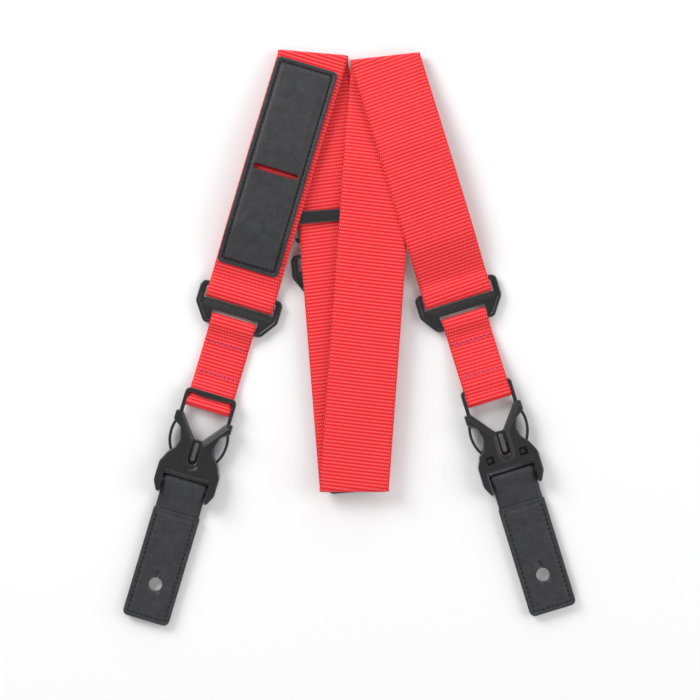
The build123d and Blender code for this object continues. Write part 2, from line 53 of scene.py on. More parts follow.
joints = {joint["name"]: joint for joint in frame["joints"]}

# %% [markdown]
# ## Camera, floor and light
#
# The camera looks straight down from far away with a long lens, so that nothing
# leans outwards. A pale floor and large soft lamps give the even light of a
# product shot, and one lamp is stronger than the rest so that the webbing's ribs
# and the moulded edges still catch a highlight.

# %% Camera
VIEW_WIDTH = 0.390
VIEW_CENTRE = (0.0004, -0.0073)
CAMERA_HEIGHT = 1.5
camera_data = bpy.data.cameras.new("camera")
camera_data.sensor_width = 36
camera_data.lens = 36 * CAMERA_HEIGHT / VIEW_WIDTH
camera_data.clip_end = 20
camera = bpy.data.objects.new("camera", camera_data)
camera.location = (*VIEW_CENTRE, CAMERA_HEIGHT)
bpy.context.collection.objects.link(camera)
bpy.context.scene.camera = camera
bpy.context.scene.view_settings.view_transform = "Standard"
print("lens", round(camera_data.lens), "mm")


# %% Floor and lamps
def new_object(name, mesh):
    """Put a mesh into the scene."""
    made = bpy.data.objects.new(name, mesh)
    bpy.context.collection.objects.link(made)
    return made


def area_lamp(name, place, size, power):
    """A square lamp that faces the strap."""
    lamp = bpy.data.lights.new(name, "AREA")
    lamp.shape = "SQUARE"
    lamp.size = size
    lamp.energy = power
    holder = new_object(name, lamp)
    holder.location = place
    holder.rotation_euler = (-Vector(place)).to_track_quat("-Z", "Y").to_euler()


floor_mesh = bpy.data.meshes.new("floor")
floor_mesh.from_pydata([(-6, -6, 0), (6, -6, 0), (6, 6, 0), (-6, 6, 0)], [], [(0, 1, 2, 3)])
floor = new_object("floor", floor_mesh)
floor.location.z = -0.0004
area_lamp("key_lamp", (-0.95, 0.85, 0.85), 0.8, 17)
area_lamp("right_lamp", (1.25, 0.1, 0.75), 1.0, 9)
area_lamp("front_lamp", (-0.1, -1.25, 0.75), 1.0, 6)
area_lamp("back_lamp", (0.3, 1.35, 0.7), 1.0, 6)
world = bpy.data.worlds.new("studio")
world.use_nodes = True
world.node_tree.nodes["Background"].inputs["Color"].default_value = (1.0, 0.99, 1.0, 1)
world.node_tree.nodes["Background"].inputs["Strength"].default_value = 0.32
bpy.context.scene.world = world


# %% [markdown]
# ## Shared shader parts
#
# A few effects turn up in several finishes, so each is a node group with named
# inputs. The weave group draws the ribs and the small floating threads of nylon
# webbing from the piece's own UV map, which is laid out in metres. The grain group
# makes leather's cells. Each group only gives out values, and every material keeps
# its own Principled shader.

# %% Node helpers
def node(tree, kind, inputs=None, **settings):
    """Add a shader or geometry node, set its fields and plug in its inputs."""
    made = tree.nodes.new(kind)
    for field, value in settings.items():
        setattr(made, field, value)
    for socket, value in (inputs or {}).items():
        if isinstance(value, bpy.types.NodeSocket):
            tree.links.new(value, made.inputs[socket])
        else:
            made.inputs[socket].default_value = value
    return made


def math_node(tree, operation, *values):
    """A Math node's output, from sockets or numbers."""
    made = node(tree, "ShaderNodeMath", dict(enumerate(values)), operation=operation)
    return made.outputs[0]


def group(name, kind, inputs, outputs):
    """An empty node group with typed sockets."""
    tree = bpy.data.node_groups.new(name, kind)
    for label, socket, default in inputs:
        made = tree.interface.new_socket(label, in_out="INPUT", socket_type=socket)
        if default is not None:
            made.default_value = default
    for label, socket in outputs:
        tree.interface.new_socket(label, in_out="OUTPUT", socket_type=socket)
    return tree, tree.nodes.new("NodeGroupInput"), tree.nodes.new("NodeGroupOutput")


# %% Weave group
weave, given, result = group(
    "webbing weave",
    "ShaderNodeTree",
    [
        ("UV", "NodeSocketVector", None),
        ("Rib pitch", "NodeSocketFloat", 0.002),
        ("Thread pitch", "NodeSocketFloat", 0.0009),
    ],
    [("Height", "NodeSocketFloat"), ("Float", "NodeSocketFloat"), ("Fuzz", "NodeSocketFloat")],
)
axes = node(weave, "ShaderNodeSeparateXYZ", {0: given.outputs["UV"]})
across = math_node(weave, "DIVIDE", axes.outputs[0], given.outputs["Thread pitch"])
along = math_node(weave, "DIVIDE", axes.outputs[1], given.outputs["Rib pitch"])
half_row = math_node(weave, "FLOOR", along)
shifted = math_node(weave, "ADD", across, math_node(weave, "MULTIPLY", half_row, 0.5))
rib = math_node(weave, "ABSOLUTE", math_node(weave, "SINE", math_node(weave, "MULTIPLY", along, math.pi)))
thread = math_node(
    weave, "ABSOLUTE", math_node(weave, "SINE", math_node(weave, "MULTIPLY", shifted, math.pi))
)
float_dot = math_node(weave, "POWER", math_node(weave, "MULTIPLY", rib, thread), 2.4)
fuzz = node(
    weave, "ShaderNodeTexNoise", {"Vector": given.outputs["UV"], "Scale": 2600.0, "Detail": 2.0}
)
dot_height = math_node(weave, "MULTIPLY", float_dot, 0.75)
height = math_node(weave, "MULTIPLY_ADD", rib, 0.25, dot_height)
weave.links.new(height, result.inputs["Height"])
weave.links.new(float_dot, result.inputs["Float"])
weave.links.new(fuzz.outputs[0], result.inputs["Fuzz"])

# %% Grain group
grain, given, result = group(
    "leather grain",
    "ShaderNodeTree",
    [("Vector", "NodeSocketVector", None), ("Cell size", "NodeSocketFloat", 0.0008)],
    [("Height", "NodeSocketFloat"), ("Patch", "NodeSocketFloat")],
)
scale = math_node(grain, "DIVIDE", 1.0, given.outputs["Cell size"])
cells = node(
    grain,
    "ShaderNodeTexVoronoi",
    {"Vector": given.outputs["Vector"], "Scale": scale, "Randomness": 1.0},
    feature="DISTANCE_TO_EDGE",
)
wrinkle = node(
    grain, "ShaderNodeTexNoise", {"Vector": given.outputs["Vector"], "Scale": scale, "Detail": 4.0}
)
patch = node(
    grain, "ShaderNodeTexNoise",
    {"Vector": given.outputs["Vector"], "Scale": 220.0, "Detail": 5.0, "Roughness": 0.7, "Distortion": 0.6},
)
cell_height = math_node(grain, "MINIMUM", math_node(grain, "MULTIPLY", cells.outputs[0], 2.0), 0.5)
summed = math_node(grain, "ADD", cell_height, math_node(grain, "MULTIPLY", wrinkle.outputs[0], 0.5))
grain.links.new(summed, result.inputs["Height"])
grain.links.new(patch.outputs[0], result.inputs["Patch"])
print("groups", [tree.name for tree in bpy.data.node_groups])


# %% [markdown]
# ## Finishes
#
# Nylon webbing is a little glossy along its floating threads, so the weave's mask drives
# both its colour and its roughness: the floats get a lighter pink colour, a painted highlight
# above the real gloss. The leather is near black with soft patches. The plastic is moulded, with a fine
# spark-eroded texture.

# %% Materials
def material(name):
    """A material whose Principled shader is ready to wire."""
    made = bpy.data.materials.new(name)
    made.use_nodes = True
    return made, made.node_tree, made.node_tree.nodes["Principled BSDF"]


def mix_colours(tree, mask, low, high):
    """Blend two colours by a mask."""
    ramp = node(tree, "ShaderNodeMix", {0: mask, 6: low, 7: high}, data_type="RGBA")
    return ramp.outputs[2]


def webbing_material(name, deep, painted_float_highlight, rib_pitch, thread_pitch):
    """Ribbed nylon webbing; reads the piece's UV map in metres."""
    made, tree, shader = material(name)
    uv = node(tree, "ShaderNodeUVMap", uv_map="UVMap")
    pattern = node(tree, "ShaderNodeGroup", node_tree=weave)
    tree.links.new(uv.outputs[0], pattern.inputs["UV"])
    pattern.inputs["Rib pitch"].default_value = rib_pitch
    pattern.inputs["Thread pitch"].default_value = thread_pitch
    # The floats are mixed towards a lighter pink: a painted highlight, the sheen of the floating threads.
    colour = mix_colours(tree, pattern.outputs["Float"], deep, painted_float_highlight)
    tree.links.new(colour, shader.inputs["Base Color"])
    rough = math_node(tree, "MULTIPLY_ADD", pattern.outputs["Float"], -0.22, 0.62)
    tree.links.new(rough, shader.inputs["Roughness"])
    summed = math_node(tree, "MULTIPLY_ADD", pattern.outputs["Fuzz"], 0.25, pattern.outputs["Height"])
    bump = node(tree, "ShaderNodeBump", {"Strength": 0.55, "Distance": 0.00022, "Height": summed})
    tree.links.new(bump.outputs[0], shader.inputs["Normal"])
    shader.inputs["Specular IOR Level"].default_value = 0.22
    return made


def leather_material(name, dark, light, cell, rough):
    """Grained leather on Object coordinates."""
    made, tree, shader = material(name)
    place = node(tree, "ShaderNodeTexCoord")
    pattern = node(tree, "ShaderNodeGroup", node_tree=grain)
    tree.links.new(place.outputs["Object"], pattern.inputs["Vector"])
    pattern.inputs["Cell size"].default_value = cell
    tree.links.new(mix_colours(tree, pattern.outputs["Patch"], dark, light), shader.inputs["Base Color"])
    gloss = math_node(tree, "MULTIPLY_ADD", pattern.outputs["Patch"], 0.2, rough)
    tree.links.new(gloss, shader.inputs["Roughness"])
    bump = node(
        tree, "ShaderNodeBump", {"Strength": 0.6, "Distance": 0.00022, "Height": pattern.outputs["Height"]}
    )
    tree.links.new(bump.outputs[0], shader.inputs["Normal"])
    shader.inputs["Specular IOR Level"].default_value = 0.4
    return made


def plastic_material(name, colour, rough):
    """Moulded plastic with a fine texture and faint flow marks."""
    made, tree, shader = material(name)
    place = node(tree, "ShaderNodeTexCoord")
    spot = place.outputs["Object"]
    fine = node(tree, "ShaderNodeTexNoise", {"Vector": spot, "Scale": 3500.0, "Detail": 2.0})
    flow = node(tree, "ShaderNodeTexNoise", {"Vector": spot, "Scale": 60.0, "Detail": 3.0})
    lighter = tuple(1.8 * value for value in colour[:3]) + (1,)
    tree.links.new(mix_colours(tree, flow.outputs[0], colour, lighter), shader.inputs["Base Color"])
    tree.links.new(math_node(tree, "MULTIPLY_ADD", flow.outputs[0], 0.18, rough), shader.inputs["Roughness"])
    bump = node(tree, "ShaderNodeBump", {"Strength": 0.25, "Distance": 0.00005, "Height": fine.outputs[0]})
    tree.links.new(bump.outputs[0], shader.inputs["Normal"])
    shader.inputs["Coat Weight"].default_value = 0.35
    shader.inputs["Coat Roughness"].default_value = 0.16
    return made


def thread_material(name, colour):
    """Twisted sewing thread."""
    made, tree, shader = material(name)
    place = node(tree, "ShaderNodeTexCoord")
    twist = node(
        tree, "ShaderNodeTexWave", {"Vector": place.outputs["Object"], "Scale": 900.0, "Distortion": 2.0},
        bands_direction="DIAGONAL",
    )
    darker = tuple(0.7 * value for value in colour[:3]) + (1,)
    tree.links.new(mix_colours(tree, twist.outputs[1], darker, colour), shader.inputs["Base Color"])
    shader.inputs["Roughness"].default_value = 0.6
    return made


RIB_PITCH = 0.00196
THREAD_PITCH = 0.0009
# The second colour is the painted highlight on the floating threads.
red_webbing = webbing_material(
    "red nylon webbing", (0.78, 0.005, 0.009, 1), (1.0, 0.20, 0.22, 1), RIB_PITCH, THREAD_PITCH
)
black_leather = leather_material(
    "black leather", (0.008, 0.008, 0.010, 1), (0.058, 0.059, 0.066, 1), 0.0009, 0.36
)
black_plastic = plastic_material("black moulded plastic", (0.011, 0.011, 0.012, 1), 0.22)
# The guide tongue is the same black plastic; this lighter grey copy is painted light, where the lamps fall on
# it.
tongue_plastic_painted_light = plastic_material("tongue plastic with painted light", (0.085, 0.075, 0.070, 1), 0.42)
black_thread = thread_material("black thread", (0.004, 0.004, 0.005, 1))
pink_thread = thread_material("red thread", (1.0, 0.09, 0.17, 1))
# The tab holes' walls are painted pale: painted light, for the bright floor that shows through the hole.
hole_wall_painted_light = leather_material("hole wall with painted light", (0.30, 0.29, 0.29, 1), (0.5, 0.49, 0.49, 1), 0.0004, 0.7)
dark_felt = leather_material(
    "leather edge and core", (0.02, 0.018, 0.018, 1), (0.05, 0.045, 0.045, 1), 0.0004, 0.7
)
floor_material, _, floor_shader = material("white table")
floor_shader.inputs["Base Color"].default_value = (0.93, 0.93, 0.935, 1)
floor_shader.inputs["Roughness"].default_value = 0.7
floor.data.materials.append(floor_material)
print("materials", len(bpy.data.materials))


# %% [markdown]
# ## Where the runs lie
#
# Each straight run of webbing is a CAD strip. Its two long sides give the line
# that it lies on, seen from above, and a ray dropped onto it gives its height at
# any distance. Every leg of the strap hangs from a ring, whose hinge gives the
# leg's direction.

# %% Lines of the runs
UP = Vector((0, 0, 1))
WEB = 0.0011


class Line:
    """A straight line on the table: a start, a direction up the strap and a direction across it."""

    def __init__(self, start, up):
        self.start = Vector((start[0], start[1], 0))
        self.up = Vector((up[0], up[1], 0)).normalized()
        if self.up.y < 0:
            self.up = -self.up
        self.across = self.up.cross(UP)

    def at(self, distance, aside=0.0, height=0.0):
        """A point that far up the line, to its right, and above the table."""
        return self.start + self.up * distance + self.across * aside + UP * height

    def along(self, point):
        """How far up the line a point is."""
        return (Vector(point) - self.start).dot(self.up)

    def meet(self, other):
        """Where two lines cross."""
        far = 1.0
        found = geometry.intersect_line_line_2d(
            self.at(-far).xy, self.at(far).xy, other.at(-far).xy, other.at(far).xy
        )
        return Vector((*found, 0))


def strip_line(name):
    """The middle line of a CAD strip, from its longest straight side."""
    flat = [vertex.co.xy for vertex in nodes[name].data.vertices]
    outline = [flat[index] for index in geometry.convex_hull_2d(flat)]
    sides = [outline[(index + 1) % len(outline)] - point for index, point in enumerate(outline)]
    longest = max(sides, key=lambda side: side.length)
    line = Line(flat[0], longest)
    aside = [line.across.xy.dot(point - flat[0]) for point in flat]
    return Line(line.at(0, (min(aside) + max(aside)) / 2), longest)


def leg_line(joint_name):
    """The line down a leg, measured from its ring's upper bar."""
    joint = joints[joint_name]
    across = Vector(joint["axis"])
    return Line(joint["pos_m"], UP.cross(across))


left_line = leg_line("left_ring_tilt")
right_line = leg_line("right_ring_tilt")
rear_line = leg_line("rear_ring_tilt")
left_back_line = strip_line("left_back_run")
back_line = strip_line("back_run")
middle_line = strip_line("middle_run")
for label, line in (("left", left_line), ("right", right_line), ("back", back_line), ("middle", middle_line)):
    print(label, "run leans", round(math.degrees(math.atan2(-line.up.x, line.up.y)), 1), "degrees")


# %% Heights of the runs
def height_of(name, line):
    """A function that gives the height of a CAD strip's middle at a distance up its line."""
    tree = BVHTree.FromPolygons(
        [vertex.co for vertex in nodes[name].data.vertices],
        [face.vertices for face in nodes[name].data.polygons],
    )

    def height(distance):
        """Drop a ray on the strip; None past its ends."""
        hit = tree.ray_cast(line.at(distance, 0, 0.1), -UP)[0]
        return None if hit is None else hit.z - WEB / 2

    return height


def height_table(name, line, start, end, step=0.001):
    """Smoothed heights along a run, so that its bends are soft."""
    height = height_of(name, line)
    count = max(2, int(abs(end - start) / step))
    places = [start + (end - start) * index / count for index in range(count + 1)]
    raw = [height(place) for place in places]
    first = next(index for index, value in enumerate(raw) if value is not None)
    raw[:first] = [raw[first]] * first
    for index, value in enumerate(raw):
        raw[index] = raw[index - 1] if value is None else value
    reach = 1
    smooth = [
        sum(raw[max(0, i - reach):i + reach + 1]) / len(raw[max(0, i - reach):i + reach + 1])
        for i in range(len(raw))
    ]
    print(name, "heights", len(raw), "from", round(min(smooth), 4), "to", round(max(smooth), 4))

    def read(distance):
        """The height between two table entries."""
        place = (distance - start) / (end - start) * count
        index = min(max(int(place), 0), count - 1)
        share = min(max(place - index, 0), 1)
        return smooth[index] * (1 - share) + smooth[index + 1] * share

    return read


# %% [markdown]
# ## The main webbing
#
# The whole strap is one ribbon, so it is made as one mesh. A row of points lies
# across the webbing at each half millimetre of its length. Straight runs give
# straight rows, a fold gives rows that turn round its edge, and a ring gives a
# loop. Ribs and a notched selvedge are real relief in the mesh: they are worked
# out from the distance along the strap, so they run on unbroken through each fold.

# %% Ribbon builder
COLUMNS = 18
ROW_STEP = 0.0005
WIDE = 0.038
NARROW = 0.025


class Ribbon:
    """Rows of points across a strip of webbing, each with its distance along the strip."""

    def __init__(self, width, columns=COLUMNS):
        self.asides = [width * (index / columns - 0.5) for index in range(columns + 1)]
        self.rows = []
        self.distances = []

    def add(self, points):
        """Add a row; its distance follows from the last row's."""
        if self.rows:
            last, base = self.rows[-1], self.distances[-1]
            self.distances.append([far + (new - old).length for new, old, far in zip(points, last, base)])
        else:
            self.distances.append([0.0] * len(points))
        self.rows.append(points)

    def side_view(self, line, route):
        """Follow side-view points of (distance up the line, height)."""
        for distance, height in route:
            self.add([line.at(distance, aside, height) for aside in self.asides])

    def straight(self, line, height, start, end, start_slant=0.0, end_slant=0.0):
        """A run between two distances, whose ends may be cut along slanted fold lines."""
        count = max(2, round(abs(end - start) / ROW_STEP))
        for index in range(1, count + 1):
            share = index / count
            points = []
            for aside in self.asides:
                near = start + aside * start_slant
                far = end + aside * end_slant
                distance = near + (far - near) * share
                points.append(line.at(distance, aside, height(distance)))
            self.add(points)

    def fold(self, outwards, next_height):
        """Turn round a fold's edge to the layer at the next height."""
        last = self.rows[-1]
        rise = (next_height - last[0].z) / 2
        steps = max(6, round(math.pi * abs(rise) / ROW_STEP))
        for index in range(1, steps + 1):
            angle = math.pi * index / steps
            self.add([
                point + outwards * abs(rise) * math.sin(angle) + UP * rise * (1 - math.cos(angle))
                for point in last
            ])


def webbing_mesh(name, ribbon, material_used, relief=0.00006, edge_notch=0.0002):
    """Give a ribbon thickness, ribs, a notched selvedge and a UV map in metres."""
    rows, distances = ribbon.rows, ribbon.distances
    columns = len(ribbon.asides)
    vertices, uvs = [], []
    for index, row in enumerate(rows):
        ahead = rows[min(index + 1, len(rows) - 1)]
        behind = rows[max(index - 1, 0)]
        for column, point in enumerate(row):
            tangent = ahead[column] - behind[column]
            side = row[min(column + 1, columns - 1)] - row[max(column - 1, 0)]
            normal = side.cross(tangent).normalized()
            far = distances[index][column]
            rib = abs(math.sin(2 * math.pi * far / RIB_PITCH / 2))
            edge = min(column, columns - 1 - column)
            thin = 0.55 if edge == 0 else 1.0
            half = (WEB / 2 - relief + relief * rib) * thin
            notch = side.normalized() * edge_notch * rib
            shift = notch if column == columns - 1 else -notch if column == 0 else Vector()
            vertices.append(point + normal * half + shift)
            vertices.append(point - normal * half + shift)
            uvs.append((ribbon.asides[column], far))
    faces = []

    def corner(row, column, under):
        return 2 * (row * columns + column) + under

    for row in range(len(rows) - 1):
        for column in range(columns - 1):
            quad = [(row, column), (row, column + 1), (row + 1, column + 1), (row + 1, column)]
            faces.append([corner(r, c, 0) for r, c in quad])
            faces.append([corner(r, c, 1) for r, c in quad[::-1]])
        for column, turn in ((0, 1), (columns - 1, -1)):
            quad = [
                corner(row, column, 0), corner(row + 1, column, 0),
                corner(row + 1, column, 1), corner(row, column, 1),
            ]
            faces.append(quad[::turn])
    for row, turn in ((0, -1), (len(rows) - 1, 1)):
        for column in range(columns - 1):
            quad = [
                corner(row, column, 0), corner(row, column + 1, 0),
                corner(row, column + 1, 1), corner(row, column, 1),
            ]
            faces.append(quad[::-turn])
    mesh = bpy.data.meshes.new(name)
    mesh.from_pydata(vertices, [], faces)
    layer = mesh.uv_layers.new(name="UVMap")
    for loop in mesh.loops:
        layer.data[loop.index].uv = uvs[loop.vertex_index // 2]
    made = bmesh.new()
    made.from_mesh(mesh)
    bmesh.ops.recalc_face_normals(made, faces=made.faces)
    made.to_mesh(mesh)
    made.free()
    mesh.shade_smooth()
    mesh.materials.append(material_used)
    print(name, "length", round(max(distances[-1]), 3), "m, faces", len(mesh.polygons))
    return new_object(name, mesh)


# %% Loops round the rings
def extent(name, line):
    """A CAD node's reach up a line, and its height range."""
    reach = [line.along(vertex.co) for vertex in nodes[name].data.vertices]
    heights = [vertex.co.z for vertex in nodes[name].data.vertices]
    return min(reach), max(reach), min(heights), max(heights)


def arc(centre, radius, start, end, step=ROW_STEP):
    """Side-view points round part of a circle, angles in degrees."""
    count = max(4, round(abs(math.radians(end - start)) * radius / step))
    angles = [math.radians(start + (end - start) * index / count) for index in range(count + 1)]
    return [(centre[0] + radius * math.cos(a), centre[1] + radius * math.sin(a)) for a in angles]


def between(start, end, step=ROW_STEP):
    """Side-view points on a straight stretch."""
    count = max(1, round(math.dist(start, end) / step))
    return [
        (start[0] + (end[0] - start[0]) * i / count, start[1] + (end[1] - start[1]) * i / count)
        for i in range(count + 1)
    ]


def soft(route, reach=3, rounds=3):
    """Round off the corners of a side-view route."""
    for _ in range(rounds):
        route = [route[0]] + [
            tuple(
                sum(point[axis] for point in route[max(0, i - reach):i + reach + 1])
                / len(route[max(0, i - reach):i + reach + 1])
                for axis in (0, 1)
            )
            for i in range(1, len(route) - 1)
        ] + [route[-1]]
    return route


def loop_route(line, loop_name, over_end, under_end):
    """Side-view route: down on top of the ring's bar, round it and back underneath, to two given points."""
    low, high, bottom, top = extent(loop_name, line)
    radius = (top - bottom) / 2 - WEB / 2
    middle = (top + bottom) / 2
    near = low + (top - bottom) / 2
    far = high - (top - bottom) / 2
    route = between(over_end, (far, middle + radius))
    route += between((far, middle + radius), (near, middle + radius))[1:]
    route += arc((near, middle), radius, 90, 270)[1:]
    route += between((near, middle - radius), (far, middle - radius))[1:]
    route += between((far, middle - radius), under_end)[1:]
    return soft(route)


# %% Main webbing
left_top = left_line.meet(left_back_line)
right_top = right_line.meet(middle_line)
bottom = back_line.meet(middle_line)
slider_place = left_back_line.meet(back_line)


def slant(line, other):
    """How the fold line between two runs slants across one of them."""
    fold_across = (line.across + other.across).normalized()
    return fold_across.dot(line.up) / fold_across.dot(line.across)


def fold_out(line, other, sign):
    """The level direction out of a fold."""
    return (line.up + other.up).normalized() * sign


left_join = extent("left_ring_loop", left_line)[1]
tail_start, tail_end = extent("left_tail", left_line)[:2]
tail_height = height_table("left_tail", left_line, tail_start, tail_end)
left_height = height_table("left_run", left_line, left_join, left_line.along(left_top))
left_back_height = height_table(
    "left_back_run", left_back_line,
    left_back_line.along(slider_place) + 0.001, left_back_line.along(left_top),
)
middle_height = height_table(
    "middle_run", middle_line, middle_line.along(bottom), middle_line.along(right_top)
)
right_join = extent("right_ring_loop", right_line)[1]
right_height = height_table("right_run", right_line, right_join, right_line.along(right_top))
back_height = height_of("back_run", back_line)(back_line.along(bottom) + 0.03)

strap = Ribbon(WIDE)
tail_tip = tail_end - 0.001
strap.side_view(left_line, [(d, tail_height(d)) for d, _ in between((tail_tip, 0), (left_join + 0.002, 0))])
turn_in = (left_join + 0.0015, tail_height(left_join + 0.002))
turn_out = (left_join + 0.002, left_height(left_join + 0.002))
strap.side_view(left_line, loop_route(left_line, "left_ring_loop", turn_in, turn_out)[1:])
top_slant = slant(left_line, left_back_line)
strap.straight(left_line, left_height, left_join + 0.002, left_line.along(left_top), 0, top_slant)
strap.fold(fold_out(left_line, left_back_line, 1), left_back_height(left_back_line.along(left_top)))
strap.straight(
    left_back_line, left_back_height, left_back_line.along(left_top), left_back_line.along(slider_place),
    slant(left_back_line, left_line), slant(left_back_line, back_line),
)
strap.straight(
    back_line, lambda distance: back_height, back_line.along(slider_place), back_line.along(bottom),
    slant(back_line, left_back_line), slant(back_line, middle_line),
)
strap.fold(fold_out(back_line, middle_line, -1), middle_height(middle_line.along(bottom)))
strap.straight(
    middle_line, middle_height, middle_line.along(bottom), middle_line.along(right_top),
    slant(middle_line, back_line), slant(middle_line, right_line),
)
strap.fold(fold_out(middle_line, right_line, 1), right_height(right_line.along(right_top)))
strap.straight(
    right_line, right_height, right_line.along(right_top), right_join + 0.002,
    slant(right_line, middle_line), 0,
)
right_start = (right_join + 0.0015, right_height(right_join + 0.002))
right_end = (right_join + 0.002, right_height(right_join + 0.002) - 0.0012)
strap.side_view(
    right_line,
    loop_route(right_line, "right_ring_loop", right_start, right_end)[1:],
)
main_webbing = webbing_mesh("main_webbing", strap, red_webbing)
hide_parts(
    "left_run", "left_ring_loop", "left_tail", "left_back_run", "top_left_fold", "back_run",
    "bottom_fold", "middle_run", "top_right_fold", "right_run", "right_ring_loop",
)
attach(main_webbing, "strap")
strap_length = max(strap.distances[-1])

# %% Frayed end
def fibre(points, radius=0.00011):
    """One loose thread as a thin tube."""
    curve = bpy.data.curves.new("fibre", "CURVE")
    curve.dimensions = "3D"
    curve.bevel_depth = radius
    curve.bevel_resolution = 1
    curve.use_fill_caps = True
    spline = curve.splines.new("NURBS")
    spline.points.add(len(points) - 1)
    for point, spot in zip(spline.points, points):
        point.co = (*spot, 1)
    spline.order_u = 3
    spline.use_endpoint_u = True
    holder = new_object("fibre", curve)
    mesh = bpy.data.meshes.new_from_object(holder.evaluated_get(bpy.context.evaluated_depsgraph_get()))
    bpy.data.objects.remove(holder)
    return mesh


chance = random.Random(7)
fray = bmesh.new()
for index in range(14):
    aside = WIDE / 2 - 0.0002 - 0.0004 * index * chance.uniform(0.6, 1.3)
    start = left_line.at(tail_tip - 0.0012, aside, tail_height(tail_tip) + 0.0002)
    reach = chance.uniform(0.0016, 0.0030)
    lean = chance.uniform(-0.2, 0.9)
    middle = start + left_line.up * reach * 0.5 + left_line.across * reach * lean * 0.3 + UP * 0.0003
    tip = start + left_line.up * reach + left_line.across * reach * lean * 0.8 - UP * 0.0002
    fray.from_mesh(fibre([start, middle, tip]))
fray_mesh = bpy.data.meshes.new("frayed_threads")
fray.to_mesh(fray_mesh)
fray.free()
fray_mesh.materials.append(pink_thread)
fray_mesh.shade_smooth()
frayed = new_object("frayed_threads", fray_mesh)
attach(frayed, "strap")
print("frayed threads", len(fray_mesh.polygons))

# %% [markdown]
# ## Links and loops
#
# A link is narrow webbing doubled into a long loop: it passes round a ring's bar at
# one end and a buckle's bar at the other, and its ends meet under a bar tack. Its
# route is read from the CAD solid, whose top and bottom faces give the two layers.
# The leather loops on the buckles are made the same way, as single loops of the same thickness and without
# ribs.

# %% Doubled strips
def faces_of(name, line):
    """A function that gives the top and bottom heights of a CAD solid's middle at a distance up a line."""
    tree = BVHTree.FromPolygons(
        [vertex.co for vertex in nodes[name].data.vertices],
        [face.vertices for face in nodes[name].data.polygons],
    )

    def both(distance):
        """Drop a ray on it from above, and send one up from below."""
        top = tree.ray_cast(line.at(distance, 0, 0.1), -UP)[0]
        low = tree.ray_cast(line.at(distance, 0, -0.1), UP)[0]
        return top.z, low.z

    return both


def doubled_strip(name, line, thick, join, low_loop=True):
    """A strip's side-view route: from the join up its top layer, round the upper loop, and back below."""
    both = faces_of(name, line)
    low, high, _, _ = extent(name, line)
    step = 0.0006
    shrink = 0.00001

    def end_loop(end, inwards):
        """Centre and radius of the loop at one end: the solid is as long past its centre as it is high."""
        reach = 0.0015
        for _ in range(12):
            top, bottom_z = both(end + inwards * reach)
            reach = (top - bottom_z) / 2
        return end + inwards * reach, (top + bottom_z) / 2, reach - thick / 2

    head, head_z, head_r = end_loop(high - shrink, -1)
    route = []
    if low_loop:
        foot, foot_z, foot_r = end_loop(low + shrink, 1)
    else:
        foot = join = low + 0.0003

    def layer(start, end, under):
        """One layer between two distances."""
        count = max(2, round(abs(end - start) / step))
        stops = [start + (end - start) * index / count for index in range(count + 1)]
        return [(stop, both(stop)[1] + thick / 2 if under else both(stop)[0] - thick / 2) for stop in stops]

    route += layer(join, head, False)
    route += arc((head, head_z), head_r, 90, -90, step)[1:]
    route += layer(head, foot, True)[1:]
    if low_loop:
        route += arc((foot, foot_z), foot_r, 270, 90, step)[1:]
        route += layer(foot, join - 0.0003, False)[1:]
    return soft(route, 2, 2)


line_gap = (Vector(joints["left_link_tilt"]["pos_m"]) - Vector(joints["left_ring_tilt"]["pos_m"])).length
for side, line in (("left", left_line), ("right", right_line)):
    link = Ribbon(NARROW, 12)
    link.side_view(line, doubled_strip(f"{side}_link", line, WEB, -line_gap - 0.0102))
    piece = webbing_mesh(f"{side}_link_webbing", link, red_webbing)
    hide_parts(f"{side}_link")
    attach(piece, f"{side}_link")
    max(link.distances[-1])

# %% Rear branch
rear_loop_low, rear_loop_high = extent("rear_loop", rear_line)[:2]
rear_pieces = (
    ("rear_loop", "slider", doubled_strip("rear_loop", rear_line, WEB, (rear_loop_low + rear_loop_high) / 2)),
    ("rear_link", "rear_tab", doubled_strip("rear_link", rear_line, WEB, 0, low_loop=False)),
)
for name, body, route in rear_pieces:
    strip = Ribbon(NARROW, 12)
    strip.side_view(rear_line, route)
    piece = webbing_mesh(f"{name}_webbing", strip, red_webbing)
    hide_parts(name)
    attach(piece, body)
    max(strip.distances[-1])

# %% Leather loops
LOOP_LEATHER = 0.0011
for side, line in (("left", left_line), ("right", right_line)):
    strip = Ribbon(NARROW, 10)
    strip.side_view(line, doubled_strip(f"{side}_tab_loop", line, LOOP_LEATHER, 0, low_loop=False))
    piece = webbing_mesh(f"{side}_tab_loop_leather", strip, black_leather, relief=0, edge_notch=0)
    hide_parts(f"{side}_tab_loop")
    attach(piece, f"{side}_tab")
    max(strip.distances[-1])


# %% [markdown]
# ## Leather panel and tabs
#
# Each is a stack of leather layers round a stiff core, sewn a little inside its edge
# so that the seam pulls a groove and the middle stands up like a cushion. A ring of
# points follows the rounded outline, and it is repeated at growing insets. A short
# profile of insets and heights then gives the edge, the groove and the crown, and
# the heights follow the webbing underneath. Holes are cut at the end.

# %% Layered leather
def plan_of(name, line):
    """A CAD node's reach up a line and across it."""
    places = [vertex.co - line.start for vertex in nodes[name].data.vertices]
    ups = [place.dot(line.up) for place in places]
    asides = [place.dot(line.across) for place in places]
    return min(ups), max(ups), min(asides), max(asides)


